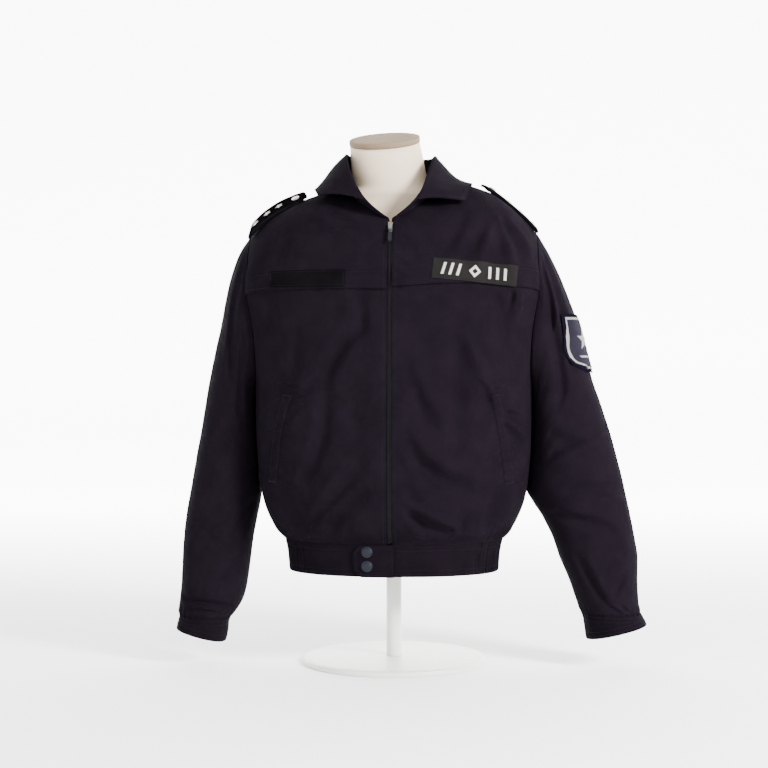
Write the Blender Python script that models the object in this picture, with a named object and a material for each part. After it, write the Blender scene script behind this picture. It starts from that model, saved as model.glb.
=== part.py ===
"""A zipped police uniform jacket on the limbless dress form that it stands on.

Metres, +Z up. The origin is on the floor under the stand, the front faces -Y, and the wearer's
left is +X. Every cloth piece is a closed wall. The body of the jacket is one smooth surface: level
sections from the hem to the chest, then arches from the chest up to the neck and shoulder seams.
Each panel is a grid on that surface, and what lies on a panel is the same surface moved outwards.
"""

import math

import bpy
import numpy as np

# Cloth
WALL = 0.0015
SEAM_GAP = 0.0002
LAYER_GAP = 0.0004
PATCH_GAP = 0.0010

# Heights of the body
HEM_BOTTOM = 0.1535
HEM_TOP = 0.205
UNDERARM = 0.455
CHEST = 0.600
LEFT_FLAP_EDGE = 0.614
RIGHT_FLAP_EDGE = 0.609
FRONT_TOP = 0.622

# The yoke's free lower edge stands off the front and stops short of the sleeve; it comes back to
# the body between these two shares of the yoke's height
FLAP_LIFT = 0.0026
FLAP_INSET = 0.010
FLAP_FADE = (0.15, 0.34)
FLAP_INSET_FADE = (0.9, 1.0)

ZIP_HALF_GAP = 0.0038

# Level sections of the body; squareness 2 is an ellipse and more is boxier
BODY_COLUMNS = ("height", "half_width", "front_depth", "back_depth", "squareness")
BODY = np.array(
    [
        (0.150, 0.1725, 0.116, 0.112, 2.20),
        (0.178, 0.1745, 0.117, 0.113, 2.20),
        (0.205, 0.1800, 0.118, 0.115, 2.20),
        (0.222, 0.1945, 0.129, 0.124, 2.25),
        (0.245, 0.2070, 0.139, 0.131, 2.30),
        (0.270, 0.2160, 0.145, 0.135, 2.35),
        (0.300, 0.2215, 0.148, 0.136, 2.40),
        (0.357, 0.2260, 0.147, 0.133, 2.40),
        (0.425, 0.2280, 0.142, 0.129, 2.40),
        (0.455, 0.2285, 0.140, 0.128, 2.45),
        (0.520, 0.2390, 0.136, 0.129, 2.50),
        (0.600, 0.2580, 0.130, 0.130, 2.50),
    ]
)

# How far round from the side each armhole edge has moved at chest height
FRONT_ARMHOLE_TURN = math.radians(26.0)
BACK_ARMHOLE_TURN = math.radians(34.0)

# The neck and shoulder seams: along runs from the centre line to the shoulder tip, and arch is how
# much of a quarter turn the cloth makes on its way up to the seam
SEAM_COLUMNS = ("along", "x", "y", "z", "arch")
FRONT_SEAM = np.array(
    [
        (0.00, 0.0038, -0.098, 0.7225, 50.0),
        (0.12, 0.0300, -0.088, 0.7370, 56.0),
        (0.25, 0.0550, -0.062, 0.7580, 66.0),
        (0.36, 0.0700, -0.025, 0.7790, 80.0),
        (0.42, 0.0745, 0.000, 0.7880, 88.0),
        (0.55, 0.1060, 0.000, 0.7790, 88.0),
        (0.70, 0.1450, 0.000, 0.7660, 88.0),
        (0.82, 0.1800, 0.000, 0.7510, 88.0),
        (0.92, 0.2110, 0.001, 0.7310, 88.0),
        (1.00, 0.2370, 0.002, 0.7080, 88.0),
    ]
)
BACK_SEAM = np.array(
    [
        (0.00, 0.0000, 0.080, 0.8010, 60.0),
        (0.14, 0.0330, 0.072, 0.8000, 64.0),
        (0.28, 0.0580, 0.047, 0.7970, 72.0),
        (0.37, 0.0710, 0.017, 0.7920, 82.0),
        (0.42, 0.0745, 0.000, 0.7880, 88.0),
        (0.55, 0.1060, 0.000, 0.7790, 88.0),
        (0.70, 0.1450, 0.000, 0.7660, 88.0),
        (0.82, 0.1800, 0.000, 0.7510, 88.0),
        (0.92, 0.2110, 0.001, 0.7310, 88.0),
        (1.00, 0.2370, 0.002, 0.7080, 88.0),
    ]
)
NECK_END = 0.42

# How much higher the wearer's left shoulder stands, along its seam
RAISE_COLUMNS = ("along", "rise")
LEFT_RAISE = np.array(
    [
        (0.30, 0.000),
        (0.45, 0.006),
        (0.62, 0.014),
        (0.72, 0.014),
        (0.88, 0.005),
        (1.00, 0.000),
    ]
)

# Grid lines shared by neighbouring pieces
LOW_LEVELS = (0.205, 0.215, 0.230, 0.248, 0.270, 0.295, 0.322, 0.350, 0.378, 0.405, 0.431)
ARM_LEVELS = (0.455, 0.462, 0.480, 0.511, 0.555, 0.600)
YOKE_STEPS = (0.0, 0.14, 0.34, 0.55, 0.78, 1.0)
NECK_CELLS = 6
SHOULDER_CELLS = 9

# Folds of the two fronts as seen from the front: a stroke from start to end, bowed sideways, its
# half width and how far it stands out, or in where that is negative
FOLD_COLUMNS = ("x0", "z0", "x1", "z1", "bow", "half_width", "rise")
FRONT_FOLDS = np.array(
    [
        (-0.045, 0.545, -0.100, 0.468, -0.010, 0.020, -0.0045),
        (-0.102, 0.433, -0.136, 0.310, 0.010, 0.018, -0.0045),
        (-0.133, 0.216, -0.053, 0.331, 0.000, 0.014, -0.0060),
        (-0.115, 0.216, -0.040, 0.285, 0.000, 0.013, -0.0040),
        (-0.139, 0.225, -0.156, 0.280, 0.000, 0.012, -0.0045),
        (0.011, 0.394, 0.111, 0.297, -0.016, 0.018, -0.0060),
        (0.014, 0.263, 0.092, 0.220, 0.000, 0.014, -0.0065),
        (0.009, 0.496, 0.066, 0.390, 0.000, 0.018, -0.0045),
        (0.103, 0.545, 0.103, 0.337, 0.004, 0.020, -0.0040),
        (0.124, 0.526, 0.149, 0.465, 0.000, 0.016, 0.0040),
        (0.184, 0.392, 0.206, 0.345, 0.008, 0.012, -0.0045),
        (0.150, 0.216, 0.170, 0.275, 0.000, 0.012, -0.0045),
        (0.178, 0.705, 0.172, 0.662, 0.000, 0.013, -0.0035),
        (0.150, 0.712, 0.120, 0.660, 0.000, 0.014, -0.0030),
        (-0.168, 0.700, -0.190, 0.650, 0.000, 0.016, -0.0030),
    ]
)
BACK_FOLDS = np.array(
    [
        (-0.150, 0.216, -0.080, 0.330, 0.010, 0.016, -0.0055),
        (-0.090, 0.216, -0.050, 0.300, 0.000, 0.014, -0.0045),
        (0.140, 0.216, 0.090, 0.340, -0.010, 0.016, -0.0055),
        (0.080, 0.216, 0.060, 0.290, 0.000, 0.014, -0.0040),
        (-0.010, 0.216, 0.010, 0.300, 0.000, 0.016, -0.0040),
        (-0.180, 0.520, -0.060, 0.440, 0.014, 0.020, -0.0050),
        (0.180, 0.530, 0.070, 0.430, -0.014, 0.020, -0.0050),
        (-0.170, 0.600, -0.120, 0.700, 0.000, 0.018, -0.0035),
        (0.170, 0.610, 0.125, 0.700, 0.000, 0.018, -0.0035),
        (-0.100, 0.380, 0.090, 0.370, -0.016, 0.018, -0.0040),
    ]
)

# Where folds fade out: heights at the hem, levels at the shoulder, and shares of the way round at
# the zip and at the armhole, where a little of each fold is left
FOLD_HEM_FADE = (0.205, 0.235)
FOLD_SHOULDER_FADE = (1.75, 1.95)
FOLD_ZIP_FADE = (0.06, 0.16)
FOLD_SIDE_FADE = (0.86, 1.0)
FOLD_SIDE_LOSS = 0.9

# Sleeves: each row is a section between its outer and its inner edge, half as deep as half_depth
SLEEVE_COLUMNS = ("outer_x", "outer_z", "inner_x", "inner_z", "half_depth", "y")
LEFT_SLEEVE = np.array(
    [
        (0.2390, 0.7060, 0.2300, 0.4540, 0.0760, 0.008),
        (0.2560, 0.6780, 0.2330, 0.4460, 0.0780, 0.009),
        (0.2730, 0.6430, 0.2310, 0.4290, 0.0760, 0.011),
        (0.2890, 0.6030, 0.2290, 0.4100, 0.0730, 0.013),
        (0.3030, 0.5640, 0.2280, 0.3880, 0.0710, 0.015),
        (0.3155, 0.5160, 0.2270, 0.3640, 0.0700, 0.017),
        (0.3290, 0.4660, 0.2260, 0.3380, 0.0700, 0.018),
        (0.3455, 0.4160, 0.2250, 0.3120, 0.0700, 0.017),
        (0.3605, 0.3670, 0.2240, 0.2880, 0.0690, 0.014),
        (0.3735, 0.3170, 0.2320, 0.2660, 0.0680, 0.010),
        (0.3845, 0.2680, 0.2470, 0.2400, 0.0650, 0.004),
        (0.3950, 0.2180, 0.2630, 0.2080, 0.0620, -0.003),
        (0.4005, 0.1740, 0.2755, 0.1720, 0.0590, -0.010),
        (0.4000, 0.1360, 0.2885, 0.1380, 0.0560, -0.016),
        (0.4010, 0.1080, 0.2980, 0.1100, 0.0530, -0.020),
        (0.4030, 0.0890, 0.3060, 0.0900, 0.0510, -0.022),
    ]
)
RIGHT_SLEEVE = np.array(
    [
        (0.2390, 0.7060, 0.2300, 0.4540, 0.0760, 0.008),
        (0.2580, 0.6780, 0.2330, 0.4460, 0.0780, 0.010),
        (0.2710, 0.6430, 0.2310, 0.4290, 0.0770, 0.013),
        (0.2810, 0.6030, 0.2290, 0.4100, 0.0750, 0.016),
        (0.2890, 0.5640, 0.2280, 0.3880, 0.0730, 0.018),
        (0.3000, 0.5160, 0.2270, 0.3640, 0.0720, 0.020),
        (0.3105, 0.4660, 0.2260, 0.3380, 0.0715, 0.021),
        (0.3190, 0.4160, 0.2250, 0.3120, 0.0710, 0.020),
        (0.3270, 0.3670, 0.2240, 0.2880, 0.0700, 0.017),
        (0.3355, 0.3170, 0.2250, 0.2660, 0.0690, 0.013),
        (0.3430, 0.2680, 0.2290, 0.2420, 0.0660, 0.007),
        (0.3490, 0.2180, 0.2345, 0.2100, 0.0630, 0.000),
        (0.3510, 0.1740, 0.2390, 0.1720, 0.0600, -0.007),
        (0.3520, 0.1360, 0.2440, 0.1360, 0.0570, -0.013),
        (0.3530, 0.1080, 0.2510, 0.1040, 0.0530, -0.017),
        (0.3540, 0.0820, 0.2690, 0.0760, 0.0490, -0.020),
    ]
)
SLEEVE_SQUARENESS = 2.2
SLEEVE_RINGS = 19
SLEEVE_LENGTH = 0.62
SLEEVE_GIRTH = 0.068
LEFT_CUFF_END = (0.4140, 0.0700, 0.3150, 0.0460, 0.0500, -0.024)
RIGHT_CUFF_END = (0.3590, 0.0580, 0.2765, 0.0360, 0.0480, -0.022)
SLEEVE_FOLD_COLUMNS = ("angle0", "along0", "angle1", "along1", "half_width", "rise")
LEFT_SLEEVE_FOLDS = np.array(
    [
        (40.0, 0.04, 60.0, 0.30, 0.013, -0.0050),
        (75.0, 0.08, 85.0, 0.34, 0.014, -0.0050),
        (20.0, 0.50, 110.0, 0.46, 0.013, -0.0045),
        (25.0, 0.64, 100.0, 0.60, 0.013, -0.0045),
        (130.0, 0.66, 70.0, 0.72, 0.014, -0.0055),
        (120.0, 0.80, 100.0, 0.92, 0.012, -0.0050),
        (250.0, 0.50, 330.0, 0.54, 0.015, -0.0050),
        (230.0, 0.68, 320.0, 0.64, 0.015, -0.0050),
        (300.0, 0.06, 285.0, 0.34, 0.015, -0.0045),
    ]
)
RIGHT_SLEEVE_FOLDS = np.array(
    [
        (60.0, 0.05, 80.0, 0.30, 0.015, -0.0040),
        (150.0, 0.62, 120.0, 0.74, 0.013, -0.0055),
        (110.0, 0.70, 60.0, 0.78, 0.014, -0.0030),
        (40.0, 0.93, 140.0, 0.95, 0.010, -0.0040),
        (250.0, 0.52, 330.0, 0.56, 0.015, -0.0050),
        (225.0, 0.66, 310.0, 0.62, 0.015, -0.0050),
        (300.0, 0.06, 285.0, 0.34, 0.015, -0.0045),
    ]
)
BODY_CLEARANCE = 0.0012

# Shares of a sleeve's length over which the armhole's shape, its spacing and the folds fade
SEAM_SHAPE_FADE = (0.0, 0.16)
SPACING_FADE = (0.0, 0.35)
SLEEVE_FOLD_START = (0.0, 0.06)
SLEEVE_FOLD_END = (0.97, 1.0)
ARMHOLE_MIDDLE_Y = 0.008
ARMHOLE_STRETCH = 1.55
CUFF_WALL = 0.0021
CUFF_ROWS = 4

# The collar: the stand rises from the neck seam to the roll line, and the leaf falls from there
COLLAR_WALL = 0.0020
COLLAR_COLUMNS = (
    "along",
    "roll_x",
    "roll_y",
    "roll_z",
    "edge_x",
    "edge_y",
    "edge_z",
    "left_rise",
    "right_bulge",
    "left_bulge",
)
COLLAR = np.array(
    [
        (0.000, 0.0420, -0.1030, 0.7530, 0.1190, -0.0800, 0.7650, -0.013, 0.005, 0.003),
        (0.130, 0.0560, -0.0860, 0.7800, 0.1250, -0.0560, 0.7740, -0.001, 0.005, -0.004),
        (0.250, 0.0660, -0.0590, 0.8080, 0.1280, -0.0280, 0.7790, 0.008, 0.005, -0.008),
        (0.380, 0.0735, -0.0200, 0.8340, 0.1280, 0.0080, 0.7800, 0.009, 0.005, -0.009),
        (0.500, 0.0745, 0.0120, 0.8400, 0.1210, 0.0400, 0.7810, 0.007, 0.005, -0.005),
        (0.650, 0.0660, 0.0450, 0.8400, 0.1000, 0.0780, 0.7770, 0.003, 0.005, 0.000),
        (0.820, 0.0380, 0.0740, 0.8400, 0.0570, 0.1060, 0.7740, 0.000, 0.005, 0.005),
        (1.000, 0.0000, 0.0830, 0.8400, 0.0000, 0.1160, 0.7740, 0.000, 0.005, 0.005),
    ]
)
ROLL_SHIFT = -0.0055
ROLL_SHIFT_FADE = (0.0, 0.3)
LEFT_ROLL_DROP = 0.0040
LEFT_DROP_END = (0.6, 0.9)
STAND_BELLY = 0.003
STAND_RISE = 0.0006
STAND_CELLS = 3
LEAF_CELLS = 4
LEAF_TOP_LEAN = 0.4
LEAF_TOP_SHARE = 0.9

# The hem band: plain in front and at the back, gathered on elastic at the sides
HEM_GAP = 0.0003
HEM_WALL = 0.0024
HEM_MIDDLE = 0.178
HEM_ROWS = 3
HEM_FRONT_CELLS = 12
ELASTIC_START = math.radians(54.0)
ELASTIC_GAP = 0.003
ELASTIC_WALL = 0.00225
GATHERS = 19
GATHER_DEPTH = 0.0026
POINTS_PER_GATHER = 4
TAB_REACH = 0.0590
TAB_OVERLAP = 0.0030
TAB_WALL = 0.0026
TAB_CORNER = 0.012
TAB_CELLS = 12
TAB_MARGIN = 0.0005
SNAP_X = -0.0360
SNAP_HEIGHTS = (0.1935, 0.1710)
SNAP_RADIUS = 0.0075
SNAP_RISE = 0.0035
SNAP_GAP = 0.0006
SNAP_SIDES = 16

# The zip
ZIP_BOTTOM = 0.206
ZIP_TOP = 0.7150
TAPE_HALF_WIDTH = 0.0130
TAPE_WALL = 0.0010
TEETH_HALF_WIDTH = 0.0024
TEETH_RISE = 0.0008
TEETH_GAP = 0.0006
ZIP_ROWS = 30
TAPE_GAP = 0.0012
SLIDER_HEIGHT = 0.7080
SLIDER_SIZE = (0.0068, 0.0070, 0.0140)
PULL_SIZE = (0.0060, 0.0016, 0.0248)
PULL_GAP = 0.0005
HINGE_DROP = 0.0035
HINGE_MARGIN = 0.0008

# Pocket welts, from the upper end to the lower end of the centre line
WELT_COLUMNS = ("x", "z")
WELT = np.array(
    [
        (0.1650, 0.4440),
        (0.1740, 0.4080),
        (0.1815, 0.3680),
        (0.1870, 0.3200),
        (0.1890, 0.3000),
    ]
)
WELT_WIDTH = 0.0150
WELT_WALL = 0.0018
WELT_CELLS = 14

# Badges on the chest and the sleeve: places in metres as seen from the front
NAME_TAPE = {"centre": (-0.1310, 0.6270), "size": (0.122, 0.026), "tilt": 0.0, "wall": 0.0020}
CHEST_PATCH = {"centre": (0.1335, 0.6370), "size": (0.133, 0.033), "tilt": -5.5, "wall": 0.0022}
BADGE_WALL = 0.0020
BADGE_TOP = 0.573
BADGE_BOTTOM = 0.478
BADGE_TOP_ANGLES = (-20.0, 60.0)
BADGE_LOW_ANGLES = (-26.0, 82.0)
BADGE_TIP_ANGLE = 12.0
BADGE_GAP = 0.0032
BADGE_ROUND_START = 0.55
BADGE_ACROSS = 12
BADGE_CELLS = 10

# Epaulettes
BOARD_COLUMNS = ("x", "half_width", "lift")
RIGHT_BOARD = np.array(
    [
        (0.142, 0.003, 0.0012),
        (0.152, 0.021, 0.0008),
        (0.175, 0.022, 0.0028),
        (0.200, 0.023, 0.0048),
        (0.220, 0.024, 0.0070),
        (0.236, 0.024, 0.0085),
    ]
)
LEFT_BOARD = np.array(
    [
        (0.143, 0.003, 0.0060),
        (0.153, 0.021, 0.0040),
        (0.175, 0.022, 0.0020),
        (0.200, 0.023, 0.0014),
        (0.220, 0.024, 0.0012),
        (0.236, 0.024, 0.0012),
    ]
)
RIGHT_BOARD_PLACE = {"side": -1, "y": -0.018, "tilt": 16.0}
LEFT_BOARD_PLACE = {"side": 1, "y": -0.002, "tilt": 3.0}
BOARD_WALL = 0.0050
BOARD_BEND_X = 0.2340
BOARD_BEND_SLOPE = 0.9
STAR_RADIUS = 0.0075
STAR_RISE = 0.0012
STAR_GAP = 0.0006
STAR_POINTS = 5
STAR_WAIST = 0.45
STAR_SPOTS = (0.187, 0.206, 0.225)
BUTTON_SPOT = 0.160
BUTTON_RADIUS = 0.0065
BUTTON_RISE = 0.0030
BUTTON_SIDES = 14

# The dress form and its stand
FORM_COLUMNS = ("height", "half_width", "front_depth", "back_depth", "x", "y")
FORM = np.array(
    [
        (0.2300, 0.1350, 0.090, 0.090, 0.000, 0.000),
        (0.3000, 0.1400, 0.094, 0.092, 0.000, 0.000),
        (0.4000, 0.1450, 0.097, 0.092, 0.000, 0.000),
        (0.5000, 0.1600, 0.108, 0.098, 0.000, 0.000),
        (0.5800, 0.1720, 0.112, 0.104, 0.000, 0.002),
        (0.6400, 0.1800, 0.102, 0.102, 0.000, 0.004),
        (0.6900, 0.1840, 0.080, 0.088, 0.000, 0.006),
        (0.7160, 0.1840, 0.062, 0.072, 0.000, 0.006),
        (0.7365, 0.1720, 0.052, 0.060, 0.000, 0.006),
        (0.7515, 0.1450, 0.048, 0.056, 0.000, 0.006),
        (0.7635, 0.1160, 0.049, 0.055, 0.000, 0.007),
        (0.7730, 0.0920, 0.052, 0.054, 0.000, 0.008),
        (0.7850, 0.0670, 0.053, 0.052, -0.002, 0.010),
        (0.8050, 0.0595, 0.053, 0.052, -0.005, 0.012),
        (0.8350, 0.0590, 0.055, 0.055, -0.011, 0.018),
    ]
)
FORM_SQUARENESS = 2.1
FORM_SIDES = 28
NECK_RIM = {"centre": (-0.0165, 0.022, 0.8620), "half_width": 0.0585, "half_depth": 0.0570}
NECK_TILT = math.radians(18.0)
NECK_LEAN = math.radians(3.0)
CAP_HEIGHT = 0.0100
CAP_GROW = 0.0006
CAP_BEVEL = 0.0016
STAND_GAP = 0.0003
POLE_RADIUS = 0.0125
BASE_RADIUS = 0.150
BASE_HEIGHT = 0.010
BASE_BEVEL = 0.006
POLE_SIDES = 24
BASE_SIDES = 48

PROBE = 1e-4
UP = np.array([0.0, 0.0, 1.0])


def remove_old_objects():
    for old in list(bpy.data.objects):
        bpy.data.objects.remove(old, do_unlink=True)


def make_material(name, colour, roughness, metallic=0.0):
    material = bpy.data.materials.new(name)
    material.use_nodes = True
    shader = material.node_tree.nodes["Principled BSDF"]
    shader.inputs["Base Color"].default_value = (*colour, 1.0)
    shader.inputs["Roughness"].default_value = roughness
    shader.inputs["Metallic"].default_value = metallic
    material.diffuse_color = (*colour, 1.0)
    return material


def signed_volume(points, faces):
    total = 0.0
    for face in faces:
        for step in range(1, len(face) - 1):
            a, b, c = points[face[0]], points[face[step]], points[face[step + 1]]
            total += np.dot(a, np.cross(b, c)) / 6.0
    return total


def add_mesh(name, points, faces, look, smooth_angle=50.0, origin=(0.0, 0.0, 0.0)):
    """Make a closed mesh whose faces look outwards; look holds its colour, roughness and metal."""
    points = np.asarray(points, dtype=float)
    if signed_volume(points, faces) < 0.0:
        faces = [tuple(reversed(face)) for face in faces]
    mesh = bpy.data.meshes.new(name)
    mesh.from_pydata((points - np.asarray(origin)).tolist(), [], faces)
    mesh.update()
    mesh.shade_smooth()
    mesh.set_sharp_from_angle(angle=math.radians(smooth_angle))
    made = bpy.data.objects.new(name, mesh)
    made.location = origin
    bpy.context.scene.collection.objects.link(made)
    mesh.materials.append(make_material(name + "_finish", *look))
    return made


def grid_faces(rows, cols, wrap, start, flip):
    faces = []
    last = cols if wrap else cols - 1
    for row in range(rows - 1):
        for col in range(last):
            right = (col + 1) % cols
            quad = (
                start + row * cols + col,
                start + row * cols + right,
                start + (row + 1) * cols + right,
                start + (row + 1) * cols + col,
            )
            faces.append(tuple(reversed(quad)) if flip else quad)
    return faces


def rim_faces(rim, shift, flip):
    faces = []
    for here, there in zip(rim[:-1], rim[1:]):
        quad = (here, here + shift, there + shift, there)
        faces.append(tuple(reversed(quad)) if flip else quad)
    return faces


def add_wall(name, outer, inner, look, wrap=False):
    """Close an outer and an inner grid into one wall of cloth."""
    rows, cols = outer.shape[:2]
    shift = rows * cols
    points = np.concatenate([outer.reshape(-1, 3), inner.reshape(-1, 3)])
    faces = grid_faces(rows, cols, wrap, 0, False) + grid_faces(rows, cols, wrap, shift, True)
    first_row = list(range(cols))
    last_row = [(rows - 1) * cols + col for col in range(cols)]
    if wrap:
        faces += rim_faces(first_row + first_row[:1], shift, False)
        faces += rim_faces(last_row + last_row[:1], shift, True)
    else:
        first_col = [row * cols for row in range(rows)]
        last_col = [row * cols + cols - 1 for row in range(rows)]
        faces += rim_faces(first_row, shift, False)
        faces += rim_faces(last_row, shift, True)
        faces += rim_faces(first_col, shift, True)
        faces += rim_faces(last_col, shift, False)
    return add_mesh(name, points, faces, look)


def read_table(table, columns, name, places):
    """Read one column of a table at the given places, with a smooth curve through its rows."""
    keys = table[:, 0]
    values = table[:, columns.index(name)]
    steps = np.diff(keys)
    slopes = np.diff(values) / steps
    tangents = np.zeros(len(keys))
    tangents[0] = slopes[0]
    tangents[-1] = slopes[-1]
    for row in range(1, len(keys) - 1):
        before, after = slopes[row - 1], slopes[row]
        if before * after > 0.0:
            tangents[row] = 2.0 * before * after / (before + after)
    places = np.clip(np.asarray(places, dtype=float), keys[0], keys[-1])
    row = np.clip(np.searchsorted(keys, places) - 1, 0, len(keys) - 2)
    part = (places - keys[row]) / steps[row]
    part2 = part * part
    part3 = part2 * part
    return (
        (2 * part3 - 3 * part2 + 1) * values[row]
        + (part3 - 2 * part2 + part) * steps[row] * tangents[row]
        + (3 * part2 - 2 * part3) * values[row + 1]
        + (part3 - part2) * steps[row] * tangents[row + 1]
    )


def unit(vectors):
    length = np.linalg.norm(vectors, axis=-1, keepdims=True)
    return vectors / np.maximum(length, 1e-12)


def ease(low, high, value):
    part = np.clip((np.asarray(value, dtype=float) - low) / (high - low), 0.0, 1.0)
    return part * part * (3.0 - 2.0 * part)


def named_rows(table, columns):
    return [dict(zip(columns, row)) for row in table]


def depth_name(face):
    return "front_depth" if face == "front" else "back_depth"


def fold_rise(folds, x, z):
    """Add up the folds at places seen from the front, each a stroke that dies out at its ends."""
    rise = np.zeros(np.broadcast(x, z).shape)
    for fold in named_rows(folds, FOLD_COLUMNS):
        run = np.array([fold["x1"] - fold["x0"], fold["z1"] - fold["z0"]])
        length = np.hypot(*run)
        run = run / length
        along = (x - fold["x0"]) * run[0] + (z - fold["z0"]) * run[1]
        part = np.clip(along / length, 0.0, 1.0)
        across = -(x - fold["x0"]) * run[1] + (z - fold["z0"]) * run[0]
        across = across - fold["bow"] * 4.0 * part * (1.0 - part)
        distance = np.hypot(across, along - part * length)
        fade = 0.35 + 0.65 * np.sin(np.pi * (0.1 + 0.8 * part))
        rise = rise + fold["rise"] * fade * np.exp(-((distance / fold["half_width"]) ** 2))
    return rise


def section_point(height, angle, depth_column):
    """A point of the level section; angle runs from the centre line round to the side."""
    half_width = read_table(BODY, BODY_COLUMNS, "half_width", height)
    depth = read_table(BODY, BODY_COLUMNS, depth_column, height)
    power = 2.0 / read_table(BODY, BODY_COLUMNS, "squareness", height)
    x = half_width * np.maximum(np.sin(angle), 0.0) ** power
    y = depth * np.maximum(np.cos(angle), 0.0) ** power
    return x, y


def angle_at_x(height, x):
    half_width = read_table(BODY, BODY_COLUMNS, "half_width", height)
    power = read_table(BODY, BODY_COLUMNS, "squareness", height) / 2.0
    return np.arcsin(np.clip(x / half_width, 0.0, 1.0) ** power)


def edge_angle(height, turn):
    part = np.clip((height - UNDERARM) / (CHEST - UNDERARM), 0.0, 1.0)
    return math.pi / 2 - turn * np.sqrt(1.0 - (1.0 - part) ** 2)


def seam_height(seam, side, along):
    height = read_table(seam, SEAM_COLUMNS, "z", along)
    if side > 0:
        height = height + read_table(LEFT_RAISE, RAISE_COLUMNS, "rise", along)
    return height


def plain_body(face, side, along, level):
    """The body surface before folds, drawn on the +X side for either side of the wearer.

    Along runs from the centre line at 0 to the side seam or armhole at 1. Level runs from the
    bottom of the hem at 0 to the chest at 1 and on to the neck and shoulder seams at 2.
    """
    along, level = np.broadcast_arrays(np.asarray(along, float), np.asarray(level, float))
    is_front = face == "front"
    seam = FRONT_SEAM if is_front else BACK_SEAM
    turn = FRONT_ARMHOLE_TURN if is_front else BACK_ARMHOLE_TURN
    height = HEM_BOTTOM + np.clip(level, 0.0, 1.0) * (CHEST - HEM_BOTTOM)
    start = angle_at_x(height, ZIP_HALF_GAP) if is_front else 0.0
    angle = start + along * (edge_angle(height, turn) - start)
    x, y = section_point(height, angle, depth_name(face))
    y = -y if is_front else y
    rise = np.clip(level - 1.0, 0.0, 1.0)
    arch = np.radians(read_table(seam, SEAM_COLUMNS, "arch", along))
    inward = (1.0 - np.cos(rise * arch)) / (1.0 - np.cos(arch))
    upward = np.sin(rise * arch) / np.sin(arch)
    top_x = read_table(seam, SEAM_COLUMNS, "x", along)
    top_y = read_table(seam, SEAM_COLUMNS, "y", along)
    top_z = seam_height(seam, side, along)
    gap = -SEAM_GAP if is_front else SEAM_GAP
    return np.stack(
        [
            x + (top_x - x) * inward,
            y + (top_y - y) * inward + gap,
            height + (top_z - height) * upward,
        ],
        axis=-1,
    )


def body_point(face, side, along, level, offset=0.0):
    """The body surface with its folds, moved outwards by offset; side is 1 or -1."""
    along, level = np.broadcast_arrays(np.asarray(along, float), np.asarray(level, float))
    low_a, high_a = np.clip(along - PROBE, 0, 1), np.clip(along + PROBE, 0, 1)
    low_v, high_v = np.clip(level - PROBE, 0, 2), np.clip(level + PROBE, 0, 2)
    across = plain_body(face, side, high_a, level) - plain_body(face, side, low_a, level)
    upward = plain_body(face, side, along, high_v) - plain_body(face, side, along, low_v)
    out = unit(np.cross(across, upward))
    if face == "back":
        out = -out
    point = plain_body(face, side, along, level)
    folds = FRONT_FOLDS if face == "front" else BACK_FOLDS
    rise = fold_rise(folds, side * point[..., 0], point[..., 2])
    strength = ease(*FOLD_HEM_FADE, point[..., 2]) * (1.0 - ease(*FOLD_SHOULDER_FADE, level))
    if face == "front":
        strength = strength * ease(*FOLD_ZIP_FADE, along)
    strength = strength * (1.0 - FOLD_SIDE_LOSS * ease(*FOLD_SIDE_FADE, along))
    point = point + out * (rise * strength + offset)[..., None]
    point[..., 0] *= side
    return point


def level_of(height):
    return (np.asarray(height, float) - HEM_BOTTOM) / (CHEST - HEM_BOTTOM)


def level_at_height(side, along, height):
    """The level of a line above the chest of the front that stays at one height."""
    arch = np.radians(read_table(FRONT_SEAM, SEAM_COLUMNS, "arch", along))
    top = seam_height(FRONT_SEAM, side, along)
    part = (height - CHEST) / (top - CHEST)
    return 1.0 + np.arcsin(part * np.sin(arch)) / arch


def find_on_body(face, side, target, axes, start=(0.5, 0.8)):
    """Find along and level where two coordinates of the plain surface meet the target."""
    guess = np.array(start, float)
    for _ in range(60):
        here = plain_body(face, side, guess[0], guess[1])[list(axes)]
        miss = np.asarray(target) - here
        step_a = plain_body(face, side, guess[0] + PROBE, guess[1])[list(axes)]
        step_v = plain_body(face, side, guess[0], guess[1] + PROBE)[list(axes)]
        slopes = np.stack([step_a - here, step_v - here], axis=1) / PROBE
        move = np.linalg.lstsq(slopes, miss, rcond=None)[0]
        guess = np.clip(guess + np.clip(move, -0.1, 0.1), (0.0, 0.0), (0.9995, 1.9995))
        if np.abs(miss).max() < 1e-6:
            break
    return guess


def shoulder_columns():
    neck = np.linspace(0.0, NECK_END, NECK_CELLS + 1)
    shoulder = np.linspace(NECK_END, 1.0, SHOULDER_CELLS + 1)
    return np.concatenate([neck, shoulder[1:]])


def flap_level(side, along):
    return level_at_height(side, along, LEFT_FLAP_EDGE if side > 0 else RIGHT_FLAP_EDGE)


def yoke_levels(side, along):
    low = flap_level(side, along)
    return low + (2.0 - low) * np.array(YOKE_STEPS)


CLOTH = ((0.012, 0.011, 0.019), 0.85)
DARK_CLOTH = ((0.006, 0.006, 0.009), 0.85)
PATCH_CLOTH = ((0.030, 0.030, 0.034), 0.80)
BADGE_CLOTH = ((0.018, 0.030, 0.090), 0.75)
SILVER = ((0.62, 0.62, 0.60), 0.35, 0.9)
SNAP_METAL = ((0.05, 0.055, 0.075), 0.40, 0.7)
ZIP_METAL = ((0.50, 0.50, 0.48), 0.35, 0.9)
CREAM = ((0.72, 0.66, 0.58), 0.75)
CAP_CREAM = ((0.58, 0.52, 0.44), 0.75)
STAND_METAL = ((0.80, 0.80, 0.78), 0.40)


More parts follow.
